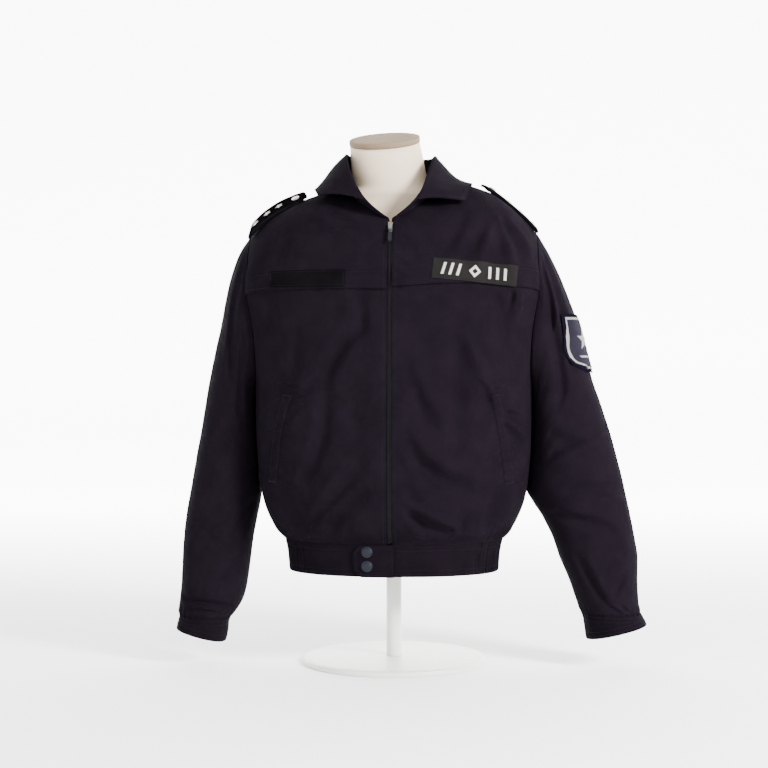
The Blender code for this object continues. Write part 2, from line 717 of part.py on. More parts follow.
def front_rows(side, along):
    """The levels of a front's grid lines at each place along it, from the hem to under the yoke."""
    rows = [np.full_like(along, level_of(height)) for height in LOW_LEVELS + ARM_LEVELS]
    rows.append(level_at_height(side, along, FRONT_TOP))
    return np.array(rows)


def add_front(name, side):
    along = shoulder_columns()
    levels = front_rows(side, along)
    grid = np.broadcast_to(along, levels.shape)
    outer = body_point("front", side, grid, levels)
    inner = body_point("front", side, grid, levels, -WALL)
    add_wall(name, outer, inner, CLOTH)


def on_front(side, along, level, offset):
    """A point of the front's own flat cells, moved out, for what lies on the front."""
    columns = shoulder_columns()
    col = np.interp(along, columns, np.arange(len(columns)))
    rows = front_rows(side, np.atleast_1d(along))[:, 0]
    row = np.interp(level, rows, np.arange(len(rows)))
    levels = [front_rows(side, columns[c : c + 1])[:, 0] for c in range(len(columns))]
    return blend_cell(side, columns, levels, row, col, offset)


def blend_cell(side, columns, all_levels, row, col, offset):
    """Mix the four corners of a grid cell, each moved out along its own normal."""
    low_c = min(int(col), len(columns) - 2)
    total = np.zeros(3)
    for step_c in (0, 1):
        levels = all_levels[low_c + step_c]
        low_r = min(int(row), len(levels) - 2)
        part_c = col - low_c if step_c else 1.0 - (col - low_c)
        for step_r in (0, 1):
            part_r = row - low_r if step_r else 1.0 - (row - low_r)
            level = levels[low_r + step_r]
            corner = body_point("front", side, columns[low_c + step_c], level, offset)
            total = total + corner * part_c * part_r
    return total


def add_yoke(name, side):
    along = shoulder_columns()
    levels = np.array([yoke_levels(side, value) for value in along]).T
    tuck = np.array(YOKE_STEPS)[:, None]
    free = 1.0 - ease(*FLAP_FADE, tuck)
    grid = along[None, :] - FLAP_INSET * ease(*FLAP_INSET_FADE, along)[None, :] * free
    grid, levels, lift = np.broadcast_arrays(grid, levels, FLAP_LIFT * free)
    outer = body_point("front", side, grid, levels, lift)
    inner = body_point("front", side, grid, levels, lift - WALL)
    add_wall(name, outer, inner, CLOTH)


def back_rows(side):
    low = [level_of(height) for height in LOW_LEVELS + ARM_LEVELS]
    return np.array(low + list(yoke_levels(side, 1.0)[1:]))


def add_back():
    grids = {}
    for side in (-1, 1):
        grid, levels = np.meshgrid(shoulder_columns(), back_rows(side))
        outer = body_point("back", side, grid, levels)
        inner = body_point("back", side, grid, levels, -WALL)
        grids[side] = (outer, inner)
    outer = np.concatenate([grids[-1][0][:, ::-1], grids[1][0][:, 1:]], axis=1)
    inner = np.concatenate([grids[-1][1][:, ::-1], grids[1][1][:, 1:]], axis=1)
    add_wall("back", outer, inner, CLOTH)


def armhole_loop(side):
    """The edge of the armhole from the shoulder tip down the front and up the back."""
    front = [level_of(height) for height in ARM_LEVELS] + list(yoke_levels(side, 1.0)[1:])
    front_edge = body_point("front", side, np.ones(len(front)), np.array(front))
    back_edge = body_point("back", side, np.ones(len(front)), np.array(front))
    loop = np.concatenate([front_edge[::-1], back_edge[1:-1]])
    tip, underarm = 0, len(front) - 1
    loop[tip, 1] = 0.5 * (front_edge[-1, 1] + back_edge[-1, 1])
    loop[underarm, 1] = 0.5 * (front_edge[0, 1] + back_edge[0, 1])
    return loop


def sleeve_section(row, angles, squareness=SLEEVE_SQUARENESS):
    """A sleeve section on the +X side; angle 0 is its outer edge and 90 degrees its front."""
    outer_x, outer_z, inner_x, inner_z, half_depth, y = row
    centre = np.array([(outer_x + inner_x) / 2, y, (outer_z + inner_z) / 2])
    outward = np.array([(outer_x - inner_x) / 2, 0.0, (outer_z - inner_z) / 2])
    power = 2.0 / squareness
    cosine, sine = np.cos(angles), np.sin(angles)
    wide = np.sign(cosine) * np.abs(cosine) ** power
    deep = -np.sign(sine) * np.abs(sine) ** power * half_depth
    points = centre + wide[:, None] * outward
    points[:, 1] += deep
    return points


def body_half_width(y, height):
    half_width = read_table(BODY, BODY_COLUMNS, "half_width", height)
    squareness = read_table(BODY, BODY_COLUMNS, "squareness", height)
    front = read_table(BODY, BODY_COLUMNS, "front_depth", height)
    back = read_table(BODY, BODY_COLUMNS, "back_depth", height)
    depth = np.where(y < 0.0, front, back)
    part = np.clip(np.abs(y) / depth, 0.0, 1.0)
    return half_width * (1.0 - part**squareness) ** (1.0 / squareness)


def keep_off_body(points):
    """Move points below the underarm out of the body, so that the sleeve hangs against it."""
    moved = points.copy()
    limit = body_half_width(moved[..., 1], moved[..., 2]) + BODY_CLEARANCE
    low = moved[..., 2] < UNDERARM + 0.004
    moved[..., 0] = np.where(low, np.maximum(moved[..., 0], limit), moved[..., 0])
    return moved


def read_row(table, place):
    spots = np.arange(len(table), dtype=float)
    keyed = np.column_stack([spots, table])
    names = ("spot",) + SLEEVE_COLUMNS
    return [float(read_table(keyed, names, name, place)) for name in SLEEVE_COLUMNS]


def sleeve_folds_at(folds, angles, along):
    girth = SLEEVE_GIRTH
    rise = np.zeros(len(angles))
    for fold in named_rows(folds, SLEEVE_FOLD_COLUMNS):
        start = np.array([math.radians(fold["angle0"]) * girth, fold["along0"] * SLEEVE_LENGTH])
        end = np.array([math.radians(fold["angle1"]) * girth, fold["along1"] * SLEEVE_LENGTH])
        run = unit(end - start)
        length = np.linalg.norm(end - start)
        here = np.stack([angles * girth, np.full(len(angles), along * SLEEVE_LENGTH)], axis=1)
        part = np.clip(((here - start) @ run) / length, 0.0, 1.0)
        nearest = start + part[:, None] * run * length
        distance = np.linalg.norm(here - nearest, axis=1)
        rise += fold["rise"] * np.exp(-((distance / fold["half_width"]) ** 2))
    return rise


def loop_angles(loop):
    """Angles of the armhole's points about the middle of the armhole, from 0 at the tip."""
    high = loop[:, 2] - 0.5 * (loop[:, 2].max() + loop[:, 2].min())
    deep = (loop[:, 1] - ARMHOLE_MIDDLE_Y) * ARMHOLE_STRETCH
    angles = np.arctan2(-deep, high)
    return np.mod(angles, 2 * math.pi)


def sleeve_grid(side, table, folds):
    """Outer grid of a sleeve on the +X side, from the armhole to the cuff seam."""
    loop = armhole_loop(side)
    loop[:, 0] = np.abs(loop[:, 0])
    seam_angles = loop_angles(loop)
    even_angles = np.linspace(0.0, 2 * math.pi, len(loop), endpoint=False)
    rows = []
    for ring in range(SLEEVE_RINGS):
        part = ring / (SLEEVE_RINGS - 1)
        place = part * (len(table) - 1)
        mix = ease(*SPACING_FADE, part)
        angles = seam_angles * (1.0 - mix) + even_angles * mix
        section = sleeve_section(read_row(table, place), angles)
        keep = 1.0 - ease(*SEAM_SHAPE_FADE, part)
        seam_shape = loop - sleeve_section(read_row(table, 0.0), seam_angles)
        section = section + seam_shape * keep
        centre = section.mean(axis=0)
        out = unit(section - centre)
        fade = ease(*SLEEVE_FOLD_START, part) * (1.0 - ease(*SLEEVE_FOLD_END, part))
        section = section + out * (sleeve_folds_at(folds, angles, part) * fade)[:, None]
        if ring:
            section = keep_off_body(section)
        rows.append(section)
    grid = np.array(rows)
    grid[0, :, 0] += SEAM_GAP * 2
    return grid


def tube_inner(grid, wall):
    """The inside of a tube, each point moved in along the tube's own normal."""
    around = np.roll(grid, -1, axis=1) - np.roll(grid, 1, axis=1)
    along = np.gradient(grid, axis=0)
    out = unit(np.cross(around, along))
    centre = grid.mean(axis=1, keepdims=True)
    outward = np.sign(np.sum(out * (grid - centre), axis=-1, keepdims=True))
    out = out * np.where(outward == 0.0, 1.0, outward)
    inner = grid - out * wall
    ring = grid[0]
    tangent = unit(np.roll(ring, -1, axis=0) - np.roll(ring, 1, axis=0))
    inward = unit(np.cross(np.array([1.0, 0.0, 0.0]), tangent))
    toward = np.sign(np.sum(inward * (ring.mean(axis=0) - ring), axis=-1, keepdims=True))
    inner[0] = ring + inward * toward * wall
    return inner


def mirrored(grid, side):
    copy = grid.copy()
    copy[..., 0] *= side
    return copy


def cuff_grid(grid, end):
    first = grid[-1].copy()
    middle = first.mean(axis=0)
    count = grid.shape[1]
    angles = np.linspace(0.0, 2 * math.pi, count, endpoint=False)
    last = sleeve_section(end, angles)
    drop = unit(last.mean(axis=0) - middle)
    start = first + drop * (SEAM_GAP * 2)
    parts = np.linspace(0.0, 1.0, CUFF_ROWS)[:, None, None]
    return start * (1.0 - parts) + last * parts


def add_sleeve_and_cuff(word, side, table, folds, cuff_end):
    grid = sleeve_grid(side, table, folds)
    inner = tube_inner(grid, WALL)
    add_wall("sleeve_" + word, mirrored(grid, side), mirrored(inner, side), CLOTH, wrap=True)
    cuff = cuff_grid(grid, cuff_end)
    around = np.roll(cuff, -1, axis=1) - np.roll(cuff, 1, axis=1)
    out = unit(np.cross(around, np.gradient(cuff, axis=0)))
    spokes = cuff - cuff.mean(axis=1, keepdims=True)
    toward = np.sign(np.sum(out * spokes, axis=-1, keepdims=True))
    cuff_inner = cuff - out * toward * CUFF_WALL
    add_wall("cuff_" + word, mirrored(cuff, side), mirrored(cuff_inner, side), CLOTH, wrap=True)


def neck_seam_half(side):
    """The neck seam from the zip round to the centre back, with its collar table place."""
    along = shoulder_columns()[: NECK_CELLS + 1]
    top = np.full(len(along), 2.0)
    front = body_point("front", side, along, top)
    back = body_point("back", side, along, top)[::-1]
    front[-1, 1] = 0.0
    line = np.concatenate([front, back[1:]])
    steps = np.linalg.norm(np.diff(line, axis=0), axis=1)
    place = np.concatenate([[0.0], np.cumsum(steps)]) / steps.sum()
    return line, place


def collar_curve(word, place):
    names = [word + "_" + axis for axis in "xyz"]
    return np.stack([read_table(COLLAR, COLLAR_COLUMNS, name, place) for name in names], axis=1)


def collar_lines(side):
    seam, place = neck_seam_half(side)
    roll = collar_curve("roll", place)
    edge = collar_curve("edge", place)
    if side > 0:
        edge[:, 2] += read_table(COLLAR, COLLAR_COLUMNS, "left_rise", place)
        roll[:, 2] -= LEFT_ROLL_DROP * ease(*ROLL_SHIFT_FADE, place) * (1.0 - ease(*LEFT_DROP_END, place))
    roll[:, 0] = roll[:, 0] * side + ROLL_SHIFT * ease(*ROLL_SHIFT_FADE, place)
    edge[:, 0] *= side
    bulge = read_table(COLLAR, COLLAR_COLUMNS, "left_bulge" if side > 0 else "right_bulge", place)
    return seam, roll, edge, bulge


def both_sides(left, right):
    """Join a line that starts at the zip on the right side with its partner on the left."""
    return np.concatenate([right, left[::-1][1:]])


def open_normals(grid):
    across = np.gradient(grid, axis=1)
    along = np.gradient(grid, axis=0)
    return unit(np.cross(across, along))


def add_collar():
    left = collar_lines(1)
    right = collar_lines(-1)
    seam, roll, edge, bulge = [both_sides(a, b) for a, b in zip(left, right)]
    axis = np.array([0.0, 0.012, 0.0])
    radial = roll - axis
    radial[:, 2] = 0.0
    radial = unit(radial)
    base = seam + np.array([0.0, 0.0, STAND_RISE])
    rows = []
    for part in np.linspace(0.0, 1.0, STAND_CELLS + 1):
        belly = STAND_BELLY * math.sin(math.pi * part)
        rows.append(base * (1 - part) + roll * part + radial * belly)
    stand = np.array(rows)
    inner = stand - radial[None] * COLLAR_WALL
    add_wall("collar_stand", stand, inner, CLOTH)
    rows = []
    for part in np.linspace(0.0, 1.0, LEAF_CELLS + 1):
        line = roll * (1 - part) + edge * part
        line[:, 2] += bulge * math.sin(math.pi * part)
        rows.append(line)
    leaf = np.array(rows) + radial[None] * LAYER_GAP
    out = open_normals(leaf)
    out = out * np.sign(out[..., 2:3] + 1e-9)
    top = leaf + out * COLLAR_WALL
    top[0] = leaf[0] + (radial * LEAF_TOP_LEAN + UP) * COLLAR_WALL * LEAF_TOP_SHARE
    add_wall("collar_leaf", top, leaf, CLOTH)


def hem_ring(angles, heights, side, face, lift):
    """Level rows of the hem band, moved outwards by lift."""
    grid_a, grid_h = np.meshgrid(angles, heights)
    depth = depth_name(face)
    x, y = section_point(grid_h, grid_a, depth)
    x1, y1 = section_point(grid_h, np.clip(grid_a - PROBE, 0, math.pi / 2), depth)
    x2, y2 = section_point(grid_h, np.clip(grid_a + PROBE, 0, math.pi / 2), depth)
    tangent = unit(np.stack([x2 - x1, y2 - y1], axis=-1))
    out = np.stack([-tangent[..., 1], tangent[..., 0]], axis=-1)
    sign = -1.0 if face == "front" else 1.0
    px = x + out[..., 0] * lift
    py = y + out[..., 1] * lift
    return np.stack([side * px, sign * py, grid_h], axis=-1)


def arc_angles(face, start, end, count):
    """Angles between start and end that give equal steps along the hem."""
    fine = np.linspace(start, end, 200)
    x, y = section_point(np.full(len(fine), HEM_MIDDLE), fine, depth_name(face))
    steps = np.hypot(np.diff(x), np.diff(y))
    run = np.concatenate([[0.0], np.cumsum(steps)])
    return np.interp(np.linspace(0.0, run[-1], count + 1), run, fine)


def hem_heights():
    return np.linspace(HEM_BOTTOM, HEM_TOP - HEM_GAP, HEM_ROWS)


def add_hem_front(word, side):
    start = float(angle_at_x(HEM_MIDDLE, ZIP_HALF_GAP))
    angles = arc_angles("front", start, ELASTIC_START, HEM_FRONT_CELLS)
    outer = hem_ring(angles, hem_heights(), side, "front", 0.0)
    inner = hem_ring(angles, hem_heights(), side, "front", -HEM_WALL)
    add_wall("hem_front_" + word, outer, inner, CLOTH)


def add_hem_elastic(word, side):
    count = GATHERS * POINTS_PER_GATHER
    heights = hem_heights()
    half = math.pi / 2
    front_angles = arc_angles("front", ELASTIC_START + ELASTIC_GAP, half, count // 2)
    back_angles = arc_angles("back", ELASTIC_START + ELASTIC_GAP, half, count // 2)
    step = np.arange(count + 1)
    wave = np.cos(step * 2 * math.pi / POINTS_PER_GATHER)
    ends = np.minimum(1.0, np.minimum(step, count - step) / POINTS_PER_GATHER)
    lift = GATHER_DEPTH * 0.5 * (wave - 0.4) * ends
    grids = []
    for offset in (lift, lift - ELASTIC_WALL):
        front = hem_ring(front_angles, heights, side, "front", offset[: len(front_angles)])
        back = hem_ring(back_angles[::-1], heights, side, "back", offset[len(front_angles) - 1 :])
        grids.append(np.concatenate([front, back[:, 1:]], axis=1))
    add_wall("hem_elastic_" + word, grids[0], grids[1], CLOTH)


def add_hem_back():
    angles = arc_angles("back", 0.0, ELASTIC_START, HEM_FRONT_CELLS)
    grids = []
    for offset in (0.0, -HEM_WALL):
        left = hem_ring(angles, hem_heights(), 1, "back", offset)
        right = hem_ring(angles, hem_heights(), -1, "back", offset)
        grids.append(np.concatenate([right[:, ::-1], left[:, 1:]], axis=1))
    add_wall("hem_back", grids[0], grids[1], CLOTH)


def hem_spot(angle, height, x, lift):
    side = -1 if x < 0 else 1
    return hem_ring(np.array([angle]), np.array([height]), side, "front", lift)[0, 0]


def add_hem_tab():
    """The tab crosses the opening from the wearer's left and closes on the right with snaps."""
    reach = np.linspace(-TAB_REACH, TAB_OVERLAP, TAB_CELLS + 1)
    from_end = reach + TAB_REACH
    cut = np.maximum(0.0, TAB_CORNER - from_end)
    low = HEM_BOTTOM - TAB_MARGIN + cut
    high = HEM_TOP - TAB_MARGIN - cut
    angles = angle_at_x(HEM_MIDDLE, np.abs(reach))
    grids = []
    for offset in (LAYER_GAP + TAB_WALL, LAYER_GAP):
        rows = []
        for part in np.linspace(0.0, 1.0, 4):
            heights = low + (high - low) * part
            rows.append([hem_spot(*spot, offset) for spot in zip(angles, heights, reach)])
        grids.append(np.array(rows))
    add_wall("hem_tab", grids[0], grids[1], CLOTH)


def disc_faces(rings, sides):
    faces = []
    for ring in range(rings - 1):
        for step in range(sides):
            right = (step + 1) % sides
            here = ring * sides
            there = here + sides
            faces.append((here + step, here + right, there + right, there + step))
    faces.append(tuple(reversed(range(sides))))
    faces.append(tuple(range((rings - 1) * sides, rings * sides)))
    return faces


def add_turned(name, base, direction, profile, sides, look):
    """A round piece: profile holds radius and distance along the direction from the base."""
    direction = unit(np.asarray(direction, float))
    helper = np.array([0.0, 0.0, 1.0]) if abs(direction[2]) < 0.9 else np.array([1.0, 0.0, 0.0])
    first = unit(np.cross(direction, helper))
    second = np.cross(direction, first)
    points = []
    for radius, distance in profile:
        for step in range(sides):
            turn = 2 * math.pi * step / sides
            spoke = first * math.cos(turn) + second * math.sin(turn)
            points.append(np.asarray(base) + direction * distance + spoke * radius)
    add_mesh(name, points, disc_faces(len(profile), sides), look, smooth_angle=35.0)


def add_snaps():
    words = ("upper", "lower")
    for word, height in zip(words, SNAP_HEIGHTS):
        angle = float(angle_at_x(height, abs(SNAP_X)))
        lift = LAYER_GAP + TAB_WALL + SNAP_GAP
        base = hem_spot(angle, height, SNAP_X, lift)
        beyond = hem_spot(angle, height, SNAP_X, lift + SNAP_RISE)
        profile = (
            (SNAP_RADIUS, 0.0),
            (SNAP_RADIUS, SNAP_RISE * 0.5),
            (SNAP_RADIUS * 0.8, SNAP_RISE * 0.9),
            (SNAP_RADIUS * 0.4, SNAP_RISE),
        )
        add_turned("snap_" + word, base, beyond - base, profile, SNAP_SIDES, SNAP_METAL)


def centre_line(height, offset):
    """A point in front of the zip's middle, with the outward direction there."""
    if height <= CHEST:
        level = level_of(height)
    else:
        level = level_at_height(-1, 0.0, height)
    here = plain_body("front", -1, 0.0, level)
    below = plain_body("front", -1, 0.0, level - 0.002)
    above = plain_body("front", -1, 0.0, np.minimum(level + 0.002, 2.0))
    run = unit(above - below)
    out = np.array([0.0, -run[2], run[1]])
    point = here + out * offset
    point[0] = 0.0
    return point, out, run


def add_zip_tape(high):
    """The tape lies behind both fronts and follows them to its own edges."""
    heights = np.linspace(ZIP_BOTTOM, ZIP_TOP, ZIP_ROWS)
    grids = []
    for offset in (high, high - TAPE_WALL):
        halves = []
        for side in (-1, 1):
            columns = (ZIP_HALF_GAP + SEAM_GAP, TAPE_HALF_WIDTH)
            spots = np.array([[(x, z) for x in columns] for z in heights])
            halves.append(patch_grid(side, spots, offset, on_curve=True))
        grids.append(np.concatenate([halves[0][:, ::-1], halves[1]], axis=1))
    add_wall("zip_tape", grids[0], grids[1], DARK_CLOTH)


def add_zip_teeth(low, high, top):
    heights = np.linspace(ZIP_BOTTOM, top, ZIP_ROWS)
    grids = []
    for offset in (high, low):
        rows = []
        for height in heights:
            point, _, _ = centre_line(height, offset)
            columns = (-TEETH_HALF_WIDTH, TEETH_HALF_WIDTH)
            rows.append([point + np.array([x, 0.0, 0.0]) for x in columns])
        grids.append(np.array(rows))
    add_wall("zip_teeth", grids[0], grids[1], DARK_CLOTH)


def add_box(name, centre, size, out, run, look, origin=(0.0, 0.0, 0.0)):
    """A box whose depth lies along out and whose height lies along run."""
    side = np.array([1.0, 0.0, 0.0])
    points = []
    for w in (-0.5, 0.5):
        for d in (-0.5, 0.5):
            for h in (-0.5, 0.5):
                points.append(centre + side * w * size[0] + out * d * size[1] + run * h * size[2])
    faces = [(0, 1, 3, 2), (4, 6, 7, 5), (0, 4, 5, 1), (2, 3, 7, 6), (0, 2, 6, 4), (1, 5, 7, 3)]
    return add_mesh(name, points, faces, look, origin=origin)


def add_zip():
    tape_high = -WALL - TAPE_GAP
    add_zip_tape(tape_high)
    teeth_top = SLIDER_HEIGHT - SLIDER_SIZE[2] * 0.5 - LAYER_GAP
    add_zip_teeth(tape_high + TEETH_GAP, TEETH_RISE, teeth_top)
    point, out, run = centre_line(SLIDER_HEIGHT, 0.0)
    low = tape_high + LAYER_GAP
    depth = SLIDER_SIZE[1]
    centre = point + out * (low + depth * 0.5)
    add_box("zip_slider", centre, (SLIDER_SIZE[0], depth, SLIDER_SIZE[2]), out, run, ZIP_METAL)
    hinge_height = SLIDER_HEIGHT - HINGE_DROP
    hinge, out, run = centre_line(hinge_height, low + depth + PULL_GAP + PULL_SIZE[1] * 0.5)
    tab_centre = hinge - run * (PULL_SIZE[2] * 0.5 - HINGE_MARGIN)
    add_box("zip_pull", tab_centre, PULL_SIZE, out, run, ZIP_METAL, origin=tuple(hinge))


def patch_grid(side, spots, offset, on_curve=False):
    """Points over the front at places seen from the front, moved out from its cells or its curve."""
    points = np.empty(spots.shape[:2] + (3,))
    guess = (0.5, 0.9)
    for row in range(spots.shape[0]):
        for col in range(spots.shape[1]):
            x, z = spots[row, col]
            guess = find_on_body("front", side, (abs(x), z), (0, 2), guess)
            if on_curve:
                points[row, col] = body_point("front", side, guess[0], guess[1], offset)
            elif z < CHEST:
                points[row, col] = on_front(side, guess[0], guess[1], offset)
            else:
                points[row, col] = on_yoke(side, guess[0], guess[1], offset)
    return points


def on_yoke(side, along, level, offset):
    columns = shoulder_columns()
    col = np.interp(along, columns, np.arange(len(columns)))
    rows = yoke_levels(side, along)
    row = np.interp(level, rows, np.arange(len(rows)))
    levels = [yoke_levels(side, value) for value in columns]
    return blend_cell(side, columns, levels, row, col, offset)


def add_chest_piece(name, place, cols, rows, look, base):
    side = 1 if place["centre"][0] > 0 else -1
    tilt = math.radians(place["tilt"])
    width, height = place["size"]
    across = np.linspace(-0.5, 0.5, cols + 1) * width
    up = np.linspace(-0.5, 0.5, rows + 1) * height
    across, up = np.meshgrid(across, up)
    x = place["centre"][0] + across * math.cos(tilt) - up * math.sin(tilt)
    z = place["centre"][1] + across * math.sin(tilt) + up * math.cos(tilt)
    spots = np.stack([x, z], axis=-1)
    outer = patch_grid(side, spots, base + place["wall"])
    inner = patch_grid(side, spots, base)
    add_wall(name, outer, inner, look)


def add_welt(word, side):
    places = np.linspace(0.0, 1.0, WELT_CELLS + 1)
    keyed = np.column_stack([np.linspace(0.0, 1.0, len(WELT)), WELT])
    names = ("place",) + WELT_COLUMNS
    x = read_table(keyed, names, "x", places)
    z = read_table(keyed, names, "z", places)
    line = np.stack([x, z], axis=1)
    run = unit(np.gradient(line, axis=0))
    across = np.stack([-run[:, 1], run[:, 0]], axis=1)
    steps = np.array([-0.5, 0.0, 0.5]) * WELT_WIDTH
    spots = line[None] + across[None] * steps[:, None, None]
    outer = patch_grid(side, spots, PATCH_GAP + WELT_WALL)
    inner = patch_grid(side, spots, PATCH_GAP)
    add_wall("pocket_welt_" + word, outer, inner, CLOTH)


def spot_at_height(grid, angle, height):
    """The point of a tube's grid at an angle round it and a height above the floor."""
    count = grid.shape[1]
    place = (angle / (2 * math.pi)) % 1.0 * count
    first = int(place) % count
    share = place - int(place)
    line = grid[:, first] * (1.0 - share) + grid[:, (first + 1) % count] * share
    rising = line[::-1]
    return np.array([np.interp(height, rising[:, 2], rising[:, axis]) for axis in range(3)])


def add_sleeve_badge():
    """A shield with a round lower edge on the outer front of the left sleeve."""
    grid = sleeve_grid(1, LEFT_SLEEVE, LEFT_SLEEVE_FOLDS)
    tip = math.radians(BADGE_TIP_ANGLE)
    rows = []
    for part in np.linspace(0.0, 1.0, BADGE_CELLS + 1):
        height = BADGE_TOP + (BADGE_BOTTOM - BADGE_TOP) * part
        beyond = max(0.0, part - BADGE_ROUND_START) / (1.01 - BADGE_ROUND_START)
        low, high = np.radians(BADGE_TOP_ANGLES) * (1 - part) + np.radians(BADGE_LOW_ANGLES) * part
        narrow = math.sqrt(1.0 - beyond**2)
        low, high = tip + (low - tip) * narrow, tip + (high - tip) * narrow
        angles = np.linspace(low, high, BADGE_ACROSS + 1)
        rows.append([spot_at_height(grid, angle, height) for angle in angles])
    base_grid = np.array(rows)
    out = open_normals(base_grid)
    out = out * np.sign(out[..., 0:1] + 1e-9)
    inner = base_grid + out * BADGE_GAP
    outer = inner + out * BADGE_WALL
    add_wall("sleeve_badge", outer, inner, BADGE_CLOTH)


def board_points(table, place, part, across):
    """A point of an epaulette's underside on the +X side."""
    spots = np.linspace(0.0, 1.0, len(table))
    sizes = [float(np.interp(part, spots, table[:, col])) for col in range(len(BOARD_COLUMNS))]
    x, half_width, lift = sizes
    target = (min(x, BOARD_BEND_X), place["y"])
    found = find_on_body("front", place["side"], target, (0, 1), (0.8, 1.9))
    z = plain_body("front", place["side"], found[0], found[1])[2] + lift
    z -= max(0.0, x - BOARD_BEND_X) * BOARD_BEND_SLOPE
    slope = math.tan(math.radians(place["tilt"]))
    return np.array([x, place["y"] + across * half_width, z + across * half_width * slope])


def board_frame(table, place, part, side):
    """A point on the flat stretch between two rows of an epaulette, with its directions."""
    rows = len(table) - 1
    row = min(int(part * rows), rows - 1)
    behind = board_points(table, place, row / rows, 0.0)
    ahead = board_points(table, place, (row + 1) / rows, 0.0)
    share = part * rows - row
    here = behind * (1.0 - share) + ahead * share
    back = board_points(table, place, part, 1.0) - board_points(table, place, part, 0.0)
    run = unit(ahead - behind)
    up = unit(np.cross(run, back))
    up = up if up[2] > 0 else -up
    flip = np.array([side, 1.0, 1.0])
    return here * flip, run * flip, up * flip


def add_epaulette(word, side, table, place):
    parts = np.linspace(0.0, 1.0, len(table))
    under = []
    top = []
    for part in parts:
        _, _, up = board_frame(table, place, part, 1)
        row = [board_points(table, place, part, across) for across in (-1.0, 0.0, 1.0)]
        under.append(row)
        top.append([point + up * BOARD_WALL for point in row])
    under, top = mirrored(np.array(under), side), mirrored(np.array(top), side)
    add_wall("epaulette_" + word, top, under, DARK_CLOTH)
    for number, spot in enumerate(STAR_SPOTS, start=1):
        part = float(np.interp(spot, table[:, 0], parts))
        here, run, up = board_frame(table, place, part, side)
        add_star("star_%s_%d" % (word, number), here + up * (BOARD_WALL + STAR_GAP), run, up)
    part = float(np.interp(BUTTON_SPOT, table[:, 0], parts))
    here, run, up = board_frame(table, place, part, side)
    profile = (
        (BUTTON_RADIUS, 0.0),
        (BUTTON_RADIUS, BUTTON_RISE * 0.6),
        (BUTTON_RADIUS * 0.6, BUTTON_RISE),
    )
    add_turned("button_" + word, here + up * (BOARD_WALL + LAYER_GAP), up, profile, BUTTON_SIDES, SILVER)


def add_star(name, base, run, up):
    second = np.cross(up, run)
    points = []
    for distance in (0.0, STAR_RISE):
        for step in range(2 * STAR_POINTS):
            radius = STAR_RADIUS if step % 2 == 0 else STAR_RADIUS * STAR_WAIST
            turn = math.pi * step / STAR_POINTS
            spoke = run * math.cos(turn) + second * math.sin(turn)
            points.append(base + up * distance + spoke * radius)
    add_mesh(name, points, disc_faces(2, 2 * STAR_POINTS), SILVER)


def form_ring(row):
    height, half_width, front, back, x_middle, y = [row[name] for name in FORM_COLUMNS]
    turns = np.linspace(0.0, 2 * math.pi, FORM_SIDES, endpoint=False)
    power = 2.0 / FORM_SQUARENESS
    cosine, sine = np.cos(turns), np.sin(turns)
    x = half_width * np.sign(cosine) * np.abs(cosine) ** power
    depth = np.where(sine < 0, front, back)
    deep = depth * np.sign(sine) * np.abs(sine) ** power
    return np.stack([x_middle + x, y + deep, np.full(FORM_SIDES, height)], axis=1)


def neck_plane():
    """The middle of the neck's cut end with its two in-plane directions and its normal."""
    tilt = np.array([0.0, math.cos(NECK_TILT), math.sin(NECK_TILT)])
    lean = np.array([math.cos(NECK_LEAN), 0.0, math.sin(NECK_LEAN)])
    up = unit(np.cross(lean, tilt))
    tilt = np.cross(up, lean)
    return np.array(NECK_RIM["centre"]), lean, tilt, up


def neck_ring(distance, grow):
    centre, lean, tilt, up = neck_plane()
    turns = np.linspace(0.0, 2 * math.pi, FORM_SIDES, endpoint=False)
    wide = (NECK_RIM["half_width"] + grow) * np.cos(turns)
    deep = (NECK_RIM["half_depth"] + grow) * np.sin(turns)
    return centre + up * distance + wide[:, None] * lean + deep[:, None] * tilt


def add_form():
    rings = [form_ring(row) for row in named_rows(FORM, FORM_COLUMNS)]
    rings.append(neck_ring(0.0, 0.0))
    points = np.concatenate(rings)
    add_mesh("dress_form", points, disc_faces(len(rings), FORM_SIDES), CREAM)
    rings = [
        neck_ring(STAND_GAP, -CAP_GROW),
        neck_ring(CAP_BEVEL, CAP_GROW),
        neck_ring(CAP_HEIGHT - CAP_BEVEL, CAP_GROW),
        neck_ring(CAP_HEIGHT, CAP_GROW - CAP_BEVEL),
    ]
    add_mesh("neck_cap", np.concatenate(rings), disc_faces(len(rings), FORM_SIDES), CAP_CREAM)
    pole_bottom = BASE_HEIGHT + STAND_GAP
    pole_length = FORM[0, 0] - STAND_GAP - pole_bottom
    profile = ((POLE_RADIUS, 0.0), (POLE_RADIUS, pole_length))
    add_turned("stand_pole", (0.0, 0.0, pole_bottom), (0, 0, 1), profile, POLE_SIDES, STAND_METAL)
    profile = (
        (BASE_RADIUS, 0.0),
        (BASE_RADIUS, BASE_HEIGHT * 0.6),
        (BASE_RADIUS - BASE_BEVEL, BASE_HEIGHT),
    )
    add_turned("stand_base", (0.0, 0.0, 0.0), (0, 0, 1), profile, BASE_SIDES, STAND_METAL)


